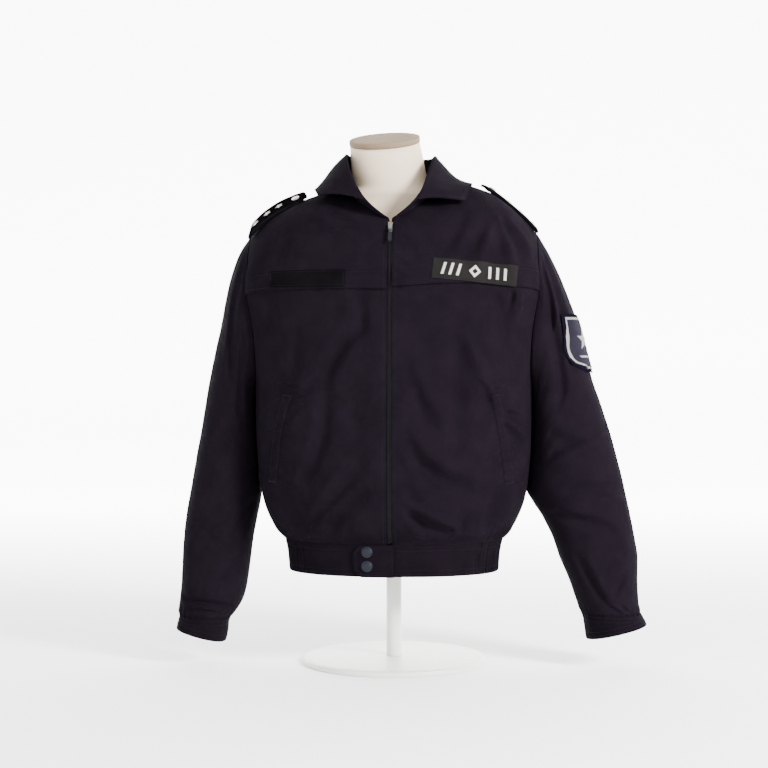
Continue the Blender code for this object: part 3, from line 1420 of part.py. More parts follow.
def build():
    remove_old_objects()
    add_form()
    add_back()
    for word, side in (("right", -1), ("left", 1)):
        add_front("front_" + word, side)
        add_yoke("yoke_" + word, side)
        add_hem_front(word, side)
        add_hem_elastic(word, side)
        add_welt(word, side)
    add_hem_back()
    add_sleeve_and_cuff("left", 1, LEFT_SLEEVE, LEFT_SLEEVE_FOLDS, LEFT_CUFF_END)
    add_sleeve_and_cuff("right", -1, RIGHT_SLEEVE, RIGHT_SLEEVE_FOLDS, RIGHT_CUFF_END)
    add_collar()
    add_hem_tab()
    add_snaps()
    add_zip()
    base = FLAP_LIFT + PATCH_GAP
    add_chest_piece("name_tape", NAME_TAPE, 8, 2, DARK_CLOTH, base)
    add_chest_piece("chest_patch", CHEST_PATCH, 9, 2, PATCH_CLOTH, base)
    add_sleeve_badge()
    add_epaulette("right", -1, RIGHT_BOARD, RIGHT_BOARD_PLACE)
    add_epaulette("left", 1, LEFT_BOARD, LEFT_BOARD_PLACE)


build()
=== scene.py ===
"""Looks of a zipped uniform jacket on a limbless dress form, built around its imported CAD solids.

Metres, +Z up. The front faces -Y and the wearer's left is +X. The jacket's body is the solids' own
surface: level sections up to the chest, then arches to the neck and shoulder seams. Each cloth piece
is a fine grid on it, with folds, puckers and edge rolls added, closed into a thin shell. Threads,
teeth and badge layers lie on those grids.
"""

import math

import bmesh
import bpy
import numpy as np
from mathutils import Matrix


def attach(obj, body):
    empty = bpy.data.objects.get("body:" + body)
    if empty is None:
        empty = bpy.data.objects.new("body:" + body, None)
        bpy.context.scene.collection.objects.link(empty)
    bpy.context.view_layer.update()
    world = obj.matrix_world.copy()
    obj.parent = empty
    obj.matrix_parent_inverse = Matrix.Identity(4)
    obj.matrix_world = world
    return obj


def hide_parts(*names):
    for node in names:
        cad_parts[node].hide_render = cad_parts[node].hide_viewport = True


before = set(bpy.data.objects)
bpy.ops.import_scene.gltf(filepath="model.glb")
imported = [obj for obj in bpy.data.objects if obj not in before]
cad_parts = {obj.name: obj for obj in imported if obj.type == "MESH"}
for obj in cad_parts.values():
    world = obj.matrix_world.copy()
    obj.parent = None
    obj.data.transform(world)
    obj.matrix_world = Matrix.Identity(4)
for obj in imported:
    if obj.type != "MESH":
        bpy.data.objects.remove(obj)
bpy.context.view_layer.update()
GARMENT = "garment"
PULL = "pull"

# Heights of the body and sizes shared with the solids
HEM_BOTTOM = 0.1535
HEM_TOP = 0.205
UNDERARM = 0.455
CHEST = 0.600
LEFT_FLAP_EDGE = 0.614
RIGHT_FLAP_EDGE = 0.609
FRONT_TOP = 0.629
ZIP_HALF_GAP = 0.0038
SEAM_GAP = 0.0002
FLAP_LIFT = 0.0036
FLAP_INSET = 0.010
FLAP_FADE = (0.15, 0.34)
SHELL = 0.0011
THICK_SHELL = 0.0020

# Level sections of the body; squareness 2 is an ellipse and more is boxier
BODY_COLUMNS = ("height", "half_width", "front_depth", "back_depth", "squareness")
BODY = np.array(
    [
        (0.150, 0.1725, 0.116, 0.112, 2.20),
        (0.178, 0.1745, 0.117, 0.113, 2.20),
        (0.205, 0.1800, 0.118, 0.115, 2.20),
        (0.222, 0.1945, 0.129, 0.124, 2.25),
        (0.245, 0.2070, 0.139, 0.131, 2.30),
        (0.270, 0.2160, 0.145, 0.135, 2.35),
        (0.300, 0.2215, 0.148, 0.136, 2.40),
        (0.357, 0.2260, 0.147, 0.133, 2.40),
        (0.425, 0.2280, 0.142, 0.129, 2.40),
        (0.455, 0.2285, 0.140, 0.128, 2.45),
        (0.520, 0.2390, 0.136, 0.129, 2.50),
        (0.600, 0.2580, 0.130, 0.130, 2.50),
    ]
)
FRONT_ARMHOLE_TURN = math.radians(26.0)
BACK_ARMHOLE_TURN = math.radians(34.0)

# The neck and shoulder seams: along runs from the centre line to the shoulder tip, and arch is how
# much of a quarter turn the cloth makes on its way up to the seam
SEAM_COLUMNS = ("along", "x", "y", "z", "arch")
SHOULDER_SEAM = [
    (0.42, 0.0745, 0.000, 0.7880, 88.0),
    (0.55, 0.1060, 0.000, 0.7790, 88.0),
    (0.70, 0.1450, 0.000, 0.7660, 88.0),
    (0.82, 0.1800, 0.000, 0.7510, 88.0),
    (0.92, 0.2110, 0.001, 0.7310, 88.0),
    (1.00, 0.2370, 0.002, 0.7080, 88.0),
]
FRONT_NECK = [
    (0.00, 0.0038, -0.098, 0.7225, 50.0),
    (0.12, 0.0300, -0.088, 0.7370, 56.0),
    (0.25, 0.0550, -0.062, 0.7580, 66.0),
    (0.36, 0.0700, -0.025, 0.7790, 80.0),
]
BACK_NECK = [
    (0.00, 0.0000, 0.080, 0.8010, 60.0),
    (0.14, 0.0330, 0.072, 0.8000, 64.0),
    (0.28, 0.0580, 0.047, 0.7970, 72.0),
    (0.37, 0.0710, 0.017, 0.7920, 82.0),
]
FRONT_SEAM = np.array(FRONT_NECK + SHOULDER_SEAM)
BACK_SEAM = np.array(BACK_NECK + SHOULDER_SEAM)
FLAP_COLUMNS = ("along", "right", "left")
FLAP_EDGE = np.array(
    [
        (0.00, 0.0012, 0.0000),
        (0.25, 0.0022, 0.0052),
        (0.40, 0.0020, 0.0058),
        (0.62, 0.0008, 0.0020),
        (0.85, -0.0012, -0.0002),
        (1.00, -0.0045, -0.0040),
    ]
)
NECK_END = 0.42
RAISE_COLUMNS = ("along", "rise")
LEFT_RAISE = np.array(
    [(0.30, 0.000), (0.45, 0.006), (0.62, 0.014), (0.72, 0.014), (0.88, 0.005), (1.00, 0.000)]
)

# Grid lines of the solids, which the fine grids divide further
LOW_LEVELS = (0.205, 0.215, 0.230, 0.248, 0.270, 0.295, 0.322, 0.350, 0.378, 0.405, 0.431)
ARM_LEVELS = (0.455, 0.462, 0.480, 0.511, 0.555, 0.600)
YOKE_STEPS = (0.0, 0.14, 0.34, 0.55, 0.78, 1.0)
NECK_CELLS = 36
SHOULDER_CELLS = 54
ROW_SPLIT = 8
YOKE_SPLIT = 12

# Folds seen from the front: a stroke from start to end, bowed sideways, with its half width, how far
# it stands out (in where negative), a trough beside it on one side, and how much it widens
FOLD_COLUMNS = ("x0", "z0", "x1", "z1", "bow", "half_width", "rise", "lean", "flare")
FRONT_FOLDS = np.array(
    [
        (-0.047, 0.590, -0.045, 0.540, 0.002, 0.015, -0.0028, 0.4, 0.0),
        (-0.041, 0.556, -0.104, 0.464, -0.010, 0.015, -0.0052, 0.5, 0.0),
        (-0.102, 0.433, -0.136, 0.310, 0.010, 0.014, -0.0048, -0.4, 0.0),
        (-0.133, 0.216, -0.042, 0.333, 0.004, 0.012, -0.0062, 0.7, 0.5),
        (-0.115, 0.216, -0.040, 0.285, 0.000, 0.011, -0.0040, 0.6, 0.5),
        (-0.139, 0.225, -0.156, 0.280, 0.000, 0.010, -0.0045, 0.6, 0.4),
        (-0.125, 0.214, -0.098, 0.262, 0.002, 0.006, 0.0022, 0.5, 0.5),
        (-0.098, 0.214, -0.078, 0.246, 0.000, 0.006, -0.0018, 0.5, 0.5),
        (-0.070, 0.214, -0.062, 0.240, 0.000, 0.006, -0.0014, 0.4, 0.4),
        (-0.160, 0.392, -0.128, 0.420, 0.003, 0.007, 0.0020, 0.6, 0.3),
        (-0.166, 0.436, -0.118, 0.462, -0.003, 0.007, -0.0022, 0.6, 0.3),
        (-0.150, 0.552, -0.170, 0.430, 0.006, 0.012, -0.0020, 0.3, 0.2),
        (-0.070, 0.600, -0.060, 0.520, 0.004, 0.014, 0.0016, 0.3, 0.4),
        (-0.196, 0.600, -0.186, 0.520, 0.000, 0.010, -0.0026, 0.4, 0.4),
        (-0.020, 0.470, -0.060, 0.360, -0.006, 0.014, -0.0016, 0.4, 0.4),
        (0.011, 0.394, 0.111, 0.297, -0.016, 0.013, -0.0062, 0.8, 0.5),
        (0.014, 0.263, 0.092, 0.220, 0.000, 0.010, -0.0065, 0.8, 0.3),
        (0.009, 0.496, 0.066, 0.390, 0.000, 0.014, -0.0050, 0.6, 0.4),
        (0.103, 0.545, 0.103, 0.337, 0.004, 0.018, -0.0042, 0.3, 0.2),
        (0.124, 0.526, 0.149, 0.465, 0.000, 0.010, 0.0042, 0.5, 0.4),
        (0.184, 0.392, 0.206, 0.345, 0.008, 0.008, -0.0055, 0.8, 0.2),
        (0.150, 0.216, 0.170, 0.275, 0.000, 0.010, -0.0045, 0.5, 0.4),
        (0.184, 0.414, 0.201, 0.408, 0.000, 0.006, -0.0028, 0.6, 0.2),
        (0.012, 0.330, 0.052, 0.262, -0.006, 0.009, -0.0024, 0.6, 0.4),
        (0.010, 0.440, 0.040, 0.392, -0.003, 0.008, -0.0022, 0.6, 0.4),
        (0.168, 0.596, 0.188, 0.545, 0.003, 0.011, -0.0040, 0.5, 0.4),
        (0.190, 0.560, 0.196, 0.500, 0.000, 0.009, 0.0024, 0.4, 0.4),
        (0.142, 0.470, 0.160, 0.446, 0.002, 0.006, 0.0024, 0.7, 0.2),
        (0.150, 0.452, 0.158, 0.418, 0.001, 0.006, -0.0024, 0.7, 0.3),
        (0.165, 0.338, 0.150, 0.300, 0.003, 0.009, -0.0022, 0.5, 0.3),
        (0.110, 0.216, 0.118, 0.250, 0.000, 0.007, -0.0020, 0.5, 0.4),
        (0.060, 0.214, 0.052, 0.236, 0.000, 0.006, -0.0016, 0.5, 0.4),
        (0.196, 0.606, 0.190, 0.583, 0.002, 0.004, -0.0042, 0.6, 0.2),
        (0.208, 0.600, 0.199, 0.572, 0.002, 0.005, 0.0030, 0.5, 0.2),
        (0.178, 0.705, 0.172, 0.662, 0.000, 0.011, -0.0035, 0.5, 0.5),
        (0.150, 0.712, 0.120, 0.660, 0.000, 0.012, -0.0030, 0.5, 0.5),
        (0.182, 0.718, 0.210, 0.668, 0.002, 0.007, -0.0030, 0.7, 0.6),
        (0.172, 0.724, 0.190, 0.655, 0.002, 0.007, 0.0026, 0.6, 0.5),
        (0.160, 0.716, 0.146, 0.655, -0.002, 0.008, 0.0020, 0.5, 0.5),
        (0.118, 0.728, 0.080, 0.672, 0.004, 0.010, -0.0020, 0.5, 0.5),
        (0.016, 0.690, 0.040, 0.664, 0.002, 0.006, -0.0014, 0.6, 0.4),
        (-0.168, 0.700, -0.190, 0.650, 0.000, 0.014, -0.0030, 0.4, 0.4),
        (-0.106, 0.742, -0.043, 0.709, -0.002, 0.007, -0.0022, 0.7, 0.4),
        (-0.120, 0.730, -0.066, 0.700, -0.002, 0.008, 0.0018, 0.6, 0.4),
        (-0.016, 0.694, -0.040, 0.668, 0.002, 0.006, -0.0014, 0.6, 0.4),
        (-0.200, 0.690, -0.214, 0.640, 0.000, 0.009, -0.0022, 0.5, 0.4),
        (-0.060, 0.664, -0.120, 0.654, 0.004, 0.008, -0.0010, 0.4, 0.3),
    ]
)
BACK_FOLDS = np.array(
    [
        (-0.150, 0.216, -0.080, 0.330, 0.010, 0.013, -0.0060, 0.7, 0.6),
        (-0.090, 0.216, -0.050, 0.300, 0.000, 0.011, -0.0045, 0.6, 0.5),
        (0.140, 0.216, 0.090, 0.340, -0.010, 0.013, -0.0060, 0.7, 0.6),
        (0.080, 0.216, 0.060, 0.290, 0.000, 0.011, -0.0040, 0.6, 0.5),
        (-0.010, 0.216, 0.010, 0.300, 0.000, 0.013, -0.0040, 0.5, 0.5),
        (-0.180, 0.520, -0.060, 0.440, 0.014, 0.015, -0.0052, 0.7, 0.4),
        (0.180, 0.530, 0.070, 0.430, -0.014, 0.015, -0.0052, 0.7, 0.4),
        (-0.170, 0.600, -0.120, 0.700, 0.000, 0.014, -0.0035, 0.5, 0.4),
        (0.170, 0.610, 0.125, 0.700, 0.000, 0.014, -0.0035, 0.5, 0.4),
        (-0.100, 0.380, 0.090, 0.370, -0.016, 0.014, -0.0042, 0.6, 0.3),
        (-0.190, 0.470, -0.120, 0.400, 0.010, 0.009, -0.0028, 0.6, 0.4),
        (0.190, 0.470, 0.110, 0.390, -0.010, 0.009, -0.0028, 0.6, 0.4),
        (-0.040, 0.640, -0.070, 0.560, 0.006, 0.012, 0.0018, 0.4, 0.5),
        (0.060, 0.660, 0.080, 0.570, -0.006, 0.012, 0.0018, 0.4, 0.5),
        (-0.120, 0.214, -0.104, 0.262, 0.002, 0.007, 0.0022, 0.5, 0.5),
        (-0.050, 0.214, -0.036, 0.256, 0.002, 0.007, 0.0018, 0.5, 0.5),
        (0.045, 0.214, 0.034, 0.260, -0.002, 0.007, 0.0020, 0.5, 0.5),
        (0.116, 0.214, 0.100, 0.264, -0.002, 0.007, 0.0022, 0.5, 0.5),
    ]
)
FOLD_GAIN = 1.75
FOLD_NARROW = 0.88
SLEEVE_FOLD_GAIN = 1.35
FOLD_HEM_FADE = (0.205, 0.235)
FOLD_SHOULDER_FADE = (1.75, 1.95)
FOLD_ZIP_FADE = (0.03, 0.10)
FOLD_SIDE_FADE = (0.86, 1.0)
FOLD_SIDE_LOSS = 0.9

# Puckers: waves beside a seam, with their pitch, how far they stand out and how far they reach
ZIP_PUCKER = {"pitch": 0.0240, "depth": 0.0017, "reach": 0.020, "slant": 1.1}
ZIP_RIPPLE = {"pitch": 0.0120, "depth": 0.0006, "reach": 0.010, "slant": 0.2}
HEM_PUCKER = {"pitch": 0.0130, "depth": 0.0021, "reach": 0.022, "slant": 0.2}
WELT_PUCKER = {"pitch": 0.0140, "depth": 0.0016, "reach": 0.017, "slant": 0.6}

# Sleeves: each row is a section between its outer and its inner edge, half as deep as half_depth
SLEEVE_COLUMNS = ("outer_x", "outer_z", "inner_x", "inner_z", "half_depth", "y")
LEFT_SLEEVE = np.array(
    [
        (0.2390, 0.7060, 0.2300, 0.4540, 0.0760, 0.008),
        (0.2560, 0.6780, 0.2288, 0.4460, 0.0780, 0.009),
        (0.2730, 0.6430, 0.2282, 0.4290, 0.0760, 0.011),
        (0.2890, 0.6030, 0.2277, 0.4100, 0.0730, 0.013),
        (0.3030, 0.5640, 0.2270, 0.3880, 0.0710, 0.015),
        (0.3155, 0.5160, 0.2262, 0.3640, 0.0700, 0.017),
        (0.3290, 0.4660, 0.2248, 0.3380, 0.0700, 0.018),
        (0.3455, 0.4160, 0.2226, 0.3120, 0.0700, 0.017),
        (0.3605, 0.3670, 0.2200, 0.2880, 0.0690, 0.014),
        (0.3735, 0.3170, 0.2300, 0.2660, 0.0680, 0.010),
        (0.3845, 0.2680, 0.2470, 0.2400, 0.0650, 0.004),
        (0.3950, 0.2180, 0.2630, 0.2080, 0.0620, -0.003),
        (0.4005, 0.1740, 0.2755, 0.1720, 0.0590, -0.010),
        (0.4000, 0.1360, 0.2885, 0.1380, 0.0560, -0.016),
        (0.4010, 0.1080, 0.2980, 0.1100, 0.0530, -0.020),
        (0.4030, 0.0890, 0.3060, 0.0900, 0.0510, -0.022),
    ]
)
RIGHT_SLEEVE = np.array(
    [
        (0.2390, 0.7060, 0.2300, 0.4540, 0.0760, 0.008),
        (0.2580, 0.6780, 0.2288, 0.4460, 0.0780, 0.010),
        (0.2710, 0.6430, 0.2282, 0.4290, 0.0770, 0.013),
        (0.2810, 0.6030, 0.2277, 0.4100, 0.0750, 0.016),
        (0.2890, 0.5640, 0.2270, 0.3880, 0.0730, 0.018),
        (0.3000, 0.5160, 0.2262, 0.3640, 0.0720, 0.020),
        (0.3105, 0.4660, 0.2248, 0.3380, 0.0715, 0.021),
        (0.3190, 0.4160, 0.2250, 0.3120, 0.0710, 0.020),
        (0.3270, 0.3670, 0.2240, 0.2880, 0.0700, 0.017),
        (0.3355, 0.3170, 0.2250, 0.2660, 0.0690, 0.013),
        (0.3430, 0.2680, 0.2290, 0.2420, 0.0660, 0.007),
        (0.3490, 0.2180, 0.2345, 0.2100, 0.0630, 0.000),
        (0.3510, 0.1740, 0.2390, 0.1720, 0.0600, -0.007),
        (0.3520, 0.1360, 0.2440, 0.1360, 0.0570, -0.013),
        (0.3530, 0.1080, 0.2510, 0.1040, 0.0530, -0.017),
        (0.3540, 0.0820, 0.2690, 0.0760, 0.0490, -0.020),
    ]
)
LEFT_CUFF_END = (0.4140, 0.0700, 0.3150, 0.0460, 0.0500, -0.024)
RIGHT_CUFF_END = (0.3590, 0.0580, 0.2765, 0.0360, 0.0480, -0.022)
SLEEVE_SQUARENESS = 2.2
SLEEVE_RINGS = 181
SLEEVE_LENGTH = 0.62
SLEEVE_GIRTH = 0.068
SLEEVE_TUCK = 0.0026
BODY_CLEARANCE = 0.0003
SEAM_SHAPE_FADE = (0.0, 0.16)
SPACING_FADE = (0.0, 0.35)
SLEEVE_FOLD_START = (0.0, 0.06)
SLEEVE_FOLD_END = (0.97, 1.0)
ARMHOLE_MIDDLE_Y = 0.008
ARMHOLE_STRETCH = 1.55
ARMHOLE_SPLIT = 8
CUFF_ROWS = 19
SLEEVE_FOLD_COLUMNS = ("angle0", "along0", "angle1", "along1", "half_width", "rise", "lean")
LEFT_SLEEVE_FOLDS = np.array(
    [
        (40.0, 0.04, 60.0, 0.30, 0.010, -0.0055, 0.7),
        (50.0, 0.030, 72.0, 0.150, 0.008, -0.0070, 0.8),
        (75.0, 0.08, 85.0, 0.34, 0.011, -0.0055, 0.7),
        (20.0, 0.50, 110.0, 0.46, 0.010, -0.0045, 0.6),
        (25.0, 0.64, 100.0, 0.60, 0.010, -0.0045, 0.6),
        (130.0, 0.66, 70.0, 0.72, 0.011, -0.0055, 0.7),
        (120.0, 0.80, 100.0, 0.92, 0.010, -0.0050, 0.6),
        (60.0, 0.84, 80.0, 0.90, 0.006, -0.0024, 0.6),
        (95.0, 0.94, 75.0, 0.99, 0.005, -0.0024, 0.5),
        (70.0, 0.95, 55.0, 0.99, 0.005, -0.0022, 0.5),
        (110.0, 0.40, 80.0, 0.50, 0.009, -0.0026, 0.6),
        (250.0, 0.50, 330.0, 0.54, 0.012, -0.0055, 0.7),
        (230.0, 0.68, 320.0, 0.64, 0.012, -0.0055, 0.7),
        (300.0, 0.06, 285.0, 0.34, 0.012, -0.0045, 0.6),
        (240.0, 0.10, 255.0, 0.36, 0.010, -0.0035, 0.6),
        (350.0, 0.72, 290.0, 0.80, 0.010, -0.0030, 0.6),
    ]
)
RIGHT_SLEEVE_FOLDS = np.array(
    [
        (60.0, 0.05, 80.0, 0.30, 0.012, -0.0042, 0.6),
        (100.0, 0.10, 105.0, 0.34, 0.010, -0.0034, 0.5),
        (150.0, 0.62, 118.0, 0.76, 0.014, -0.0040, 0.3),
        (110.0, 0.70, 60.0, 0.78, 0.012, -0.0030, 0.5),
        (40.0, 0.93, 140.0, 0.95, 0.007, -0.0040, 0.7),
        (60.0, 0.965, 120.0, 0.975, 0.005, -0.0024, 0.6),
        (130.0, 0.80, 100.0, 0.88, 0.008, -0.0026, 0.6),
        (30.0, 0.50, 90.0, 0.46, 0.010, -0.0022, 0.5),
        (250.0, 0.52, 330.0, 0.56, 0.012, -0.0055, 0.7),
        (225.0, 0.66, 310.0, 0.62, 0.012, -0.0055, 0.7),
        (300.0, 0.06, 285.0, 0.34, 0.012, -0.0045, 0.6),
        (240.0, 0.10, 255.0, 0.36, 0.010, -0.0035, 0.6),
        (350.0, 0.74, 290.0, 0.82, 0.010, -0.0030, 0.6),
    ]
)

# The collar: the stand rises from the neck seam to the roll line, and the leaf falls from there
COLLAR_COLUMNS = (
    "along",
    "roll_x",
    "roll_y",
    "roll_z",
    "edge_x",
    "edge_y",
    "edge_z",
    "left_rise",
    "right_bulge",
    "left_bulge",
)
COLLAR = np.array(
    [
        (0.000, 0.0420, -0.1030, 0.7530, 0.1190, -0.0800, 0.7650, -0.013, 0.005, 0.003),
        (0.130, 0.0560, -0.0860, 0.7800, 0.1250, -0.0560, 0.7740, -0.001, 0.005, -0.004),
        (0.250, 0.0660, -0.0590, 0.8080, 0.1280, -0.0280, 0.7790, 0.008, 0.005, -0.008),
        (0.380, 0.0735, -0.0200, 0.8340, 0.1280, 0.0080, 0.7800, 0.009, 0.005, -0.009),
        (0.500, 0.0745, 0.0120, 0.8400, 0.1210, 0.0400, 0.7810, 0.007, 0.005, -0.005),
        (0.650, 0.0660, 0.0450, 0.8400, 0.1000, 0.0780, 0.7770, 0.003, 0.005, 0.000),
        (0.820, 0.0380, 0.0740, 0.8400, 0.0570, 0.1060, 0.7740, 0.000, 0.005, 0.005),
        (1.000, 0.0000, 0.0830, 0.8400, 0.0000, 0.1160, 0.7740, 0.000, 0.005, 0.005),
    ]
)
ROLL_SHIFT = -0.0055
LEFT_ROLL_DROP = 0.0040
COLLAR_MIDDLE_Y = 0.012
STAND_BELLY = 0.003
STAND_ROWS = 13
NECK_TUCK = 0.0028
LEAF_ROWS = 25
COLLAR_CELLS = 70

# The hem band
HEM_ROWS = 18
HEM_TUCK = 0.0022
HEM_CELLS = 110
ELASTIC_START = math.radians(54.0)
ELASTIC_GAP = 0.003
END_GATHER_START = math.radians(45.5)
END_GATHER_PITCH = math.radians(3.1)
GATHERS = 19
GATHER_DEPTH = 0.0034
POINTS_PER_GATHER = 12
TAB_REACH = 0.0590
TAB_OVERLAP = 0.0062
TAB_LIFT = 0.0004
TAB_WALL = 0.0026
TAB_CORNER = 0.012
SNAP_X = -0.0360
SNAP_HEIGHTS = (0.1935, 0.1710)
SNAP_RADIUS = 0.0075

# The zip
ZIP_BOTTOM = 0.206
ZIP_TOP = 0.7150
TEETH_TOP = 0.7005
TAPE_HALF_WIDTH = 0.0130
TAPE_DEPTH = -0.0028
TOOTH_PITCH = 0.0026
SLIDER_HEIGHT = 0.7080

# Pocket welts, from the upper end to the lower end of the centre line
WELT_COLUMNS = ("place", "x", "z")
WELT = np.array(
    [
        (0.00, 0.1650, 0.4440),
        (0.25, 0.1740, 0.4080),
        (0.50, 0.1815, 0.3680),
        (0.75, 0.1870, 0.3200),
        (1.00, 0.1890, 0.3000),
    ]
)
WELT_WIDTH = 0.0150

# Badges: places in metres as seen from the front
NAME_TAPE = {"centre": (-0.1310, 0.6270), "size": (0.122, 0.026), "tilt": 0.0}
CHEST_PATCH = {"centre": (0.1335, 0.6370), "size": (0.133, 0.033), "tilt": -5.5}
BADGE_TOP = 0.573
BADGE_BOTTOM = 0.478
BADGE_TOP_ANGLES = (-20.0, 60.0)
BADGE_LOW_ANGLES = (-26.0, 82.0)
BADGE_TIP_ANGLE = 12.0
BADGE_ROUND_START = 0.55

# Shoulder boards
BOARD_COLUMNS = ("part", "x", "half_width", "lift")
RIGHT_BOARD = np.array(
    [
        (0.0, 0.142, 0.003, 0.0012),
        (0.2, 0.152, 0.021, 0.0012),
        (0.4, 0.175, 0.022, 0.0024),
        (0.6, 0.200, 0.023, 0.0038),
        (0.8, 0.220, 0.024, 0.0055),
        (1.0, 0.236, 0.024, 0.0068),
    ]
)
LEFT_BOARD = np.array(
    [
        (0.0, 0.143, 0.003, 0.0060),
        (0.2, 0.153, 0.021, 0.0040),
        (0.4, 0.175, 0.022, 0.0020),
        (0.6, 0.200, 0.023, 0.0014),
        (0.8, 0.220, 0.024, 0.0012),
        (1.0, 0.236, 0.024, 0.0012),
    ]
)
RIGHT_BOARD_PLACE = {"side": -1, "y": -0.018, "tilt": 31.0}
LEFT_BOARD_PLACE = {"side": 1, "y": -0.002, "tilt": 11.0}
BOARD_WALL = 0.0050
BOARD_BEND_X = 0.2340
BOARD_BEND_SLOPE = 0.9
STAR_RADIUS = 0.0075
STAR_SPOTS = (0.187, 0.206, 0.225)
BUTTON_SPOT = 0.160

# The dress form and its stand
FORM_COLUMNS = ("height", "half_width", "front_depth", "back_depth", "x", "y")
FORM = np.array(
    [
        (0.2300, 0.1350, 0.090, 0.090, 0.000, 0.000),
        (0.3000, 0.1400, 0.094, 0.092, 0.000, 0.000),
        (0.4000, 0.1450, 0.097, 0.092, 0.000, 0.000),
        (0.5000, 0.1600, 0.108, 0.098, 0.000, 0.000),
        (0.5800, 0.1720, 0.112, 0.104, 0.000, 0.002),
        (0.6400, 0.1800, 0.102, 0.102, 0.000, 0.004),
        (0.6900, 0.1840, 0.080, 0.088, 0.000, 0.006),
        (0.7160, 0.1840, 0.062, 0.072, 0.000, 0.006),
        (0.7365, 0.1720, 0.052, 0.060, 0.000, 0.006),
        (0.7515, 0.1450, 0.048, 0.056, 0.000, 0.006),
        (0.7635, 0.1160, 0.049, 0.055, 0.000, 0.007),
        (0.7730, 0.0920, 0.052, 0.054, 0.000, 0.008),
        (0.7850, 0.0670, 0.053, 0.052, -0.002, 0.010),
        (0.8050, 0.0630, 0.053, 0.052, -0.0085, 0.012),
        (0.8350, 0.0608, 0.055, 0.055, -0.0127, 0.018),
    ]
)
FORM_SQUARENESS = 2.1
FORM_SIDES = 96
NECK_CENTRE = (-0.0165, 0.022, 0.8620)
NECK_HALF_WIDTH = 0.0585
NECK_HALF_DEPTH = 0.0570
NECK_TILT = math.radians(18.0)
NECK_LEAN = math.radians(3.0)
CAP_HEIGHT = 0.0100
POLE_RADIUS = 0.0125
BASE_RADIUS = 0.150
BASE_HEIGHT = 0.010

# Sewing
STITCH_PITCH = 0.0034
STITCH_LENGTH = 0.0025
STITCH_HALF_WIDTH = 0.00032
STITCH_RISE = 0.00028

# Camera, level and a little towards the wearer's left
CAMERA_DISTANCE = 2.55
CAMERA_HEIGHT = 0.46
CAMERA_TURN = math.radians(3.2)
CAMERA_LENS = 72.0
CAMERA_SHIFT = -10.0 / 768.0

PROBE = 1e-4
threads = []


# ---- Tables and small maths


def read_table(table, columns, name, places):
    """Read one column of a table at the given places, with a smooth curve through its rows."""
    keys = table[:, 0]
    values = table[:, columns.index(name)]
    steps = np.diff(keys)
    slopes = np.diff(values) / steps
    tangents = np.zeros(len(keys))
    tangents[0] = slopes[0]
    tangents[-1] = slopes[-1]
    for row in range(1, len(keys) - 1):
        before, after = slopes[row - 1], slopes[row]
        if before * after > 0.0:
            tangents[row] = 2.0 * before * after / (before + after)
    places = np.clip(np.asarray(places, dtype=float), keys[0], keys[-1])
    row = np.clip(np.searchsorted(keys, places) - 1, 0, len(keys) - 2)
    part = (places - keys[row]) / steps[row]
    part2 = part * part
    part3 = part2 * part
    return (
        (2 * part3 - 3 * part2 + 1) * values[row]
        + (part3 - 2 * part2 + part) * steps[row] * tangents[row]
        + (3 * part2 - 2 * part3) * values[row + 1]
        + (part3 - part2) * steps[row] * tangents[row + 1]
    )


def named_rows(table, columns):
    return [dict(zip(columns, row)) for row in table]


def unit(vectors):
    length = np.linalg.norm(vectors, axis=-1, keepdims=True)
    return vectors / np.maximum(length, 1e-12)


def ease(low, high, value):
    part = np.clip((np.asarray(value, dtype=float) - low) / (high - low), 0.0, 1.0)
    return part * part * (3.0 - 2.0 * part)


def refine(values, times):
    """Put even steps between neighbouring rows of a list or grid."""
    values = np.asarray(values, dtype=float)
    place = np.linspace(0.0, len(values) - 1, (len(values) - 1) * times + 1)
    low = np.minimum(place.astype(int), len(values) - 2)
    share = place - low
    share = share.reshape((-1,) + (1,) * (values.ndim - 1))
    return values[low] * (1.0 - share) + values[low + 1] * share


def soft_noise(u, v, size, seed):
    """Smooth noise from -1 to 1 whose cells are size wide."""
    table = np.random.default_rng(seed).uniform(-1.0, 1.0, (61, 67))
    a = np.asarray(u) / size
    b = np.asarray(v) / size
    col = np.floor(a).astype(int)
    row = np.floor(b).astype(int)
    fa = ease(0.0, 1.0, a - col)
    fb = ease(0.0, 1.0, b - row)
    col, next_col = col % 61, (col + 1) % 61
    row, next_row = row % 67, (row + 1) % 67
    low = table[col, row] * (1 - fa) + table[next_col, row] * fa
    high = table[col, next_row] * (1 - fa) + table[next_col, next_row] * fa
    return low * (1 - fb) + high * fb


def cloth_noise(u, v, seed):
    """The small unevenness of hanging cloth, longer up and down than across."""
    wide = soft_noise(u, v * 0.6, 0.046, seed) * 0.00080
    middle = soft_noise(u, v * 0.6, 0.021, seed + 1) * 0.00046
    fine = soft_noise(u, v * 0.7, 0.009, seed + 2) * 0.00014
    return wide + middle + fine


def pucker(spec, distance, run, seed):
    """Waves beside a seam that die out with the distance from it, uneven in spacing and depth."""
    phase = (run + spec["slant"] * distance) / spec["pitch"]
    phase = phase + 0.45 * soft_noise(run, run * 0.0, spec["pitch"] * 1.7, seed)
    depth = spec["depth"] * (0.65 + 0.5 * soft_noise(run, run * 0.0, spec["pitch"] * 2.3, seed + 5))
    return depth * np.sin(2 * math.pi * phase) * np.exp(-((distance / spec["reach"]) ** 2))


def fold_profile(across, half_width, rise, lean):
    q = across / half_width
    side = np.sign(lean) * 1.45
    return rise * (np.exp(-(q**2)) - 0.55 * abs(lean) * np.exp(-(((q - side) / 0.75) ** 2)))


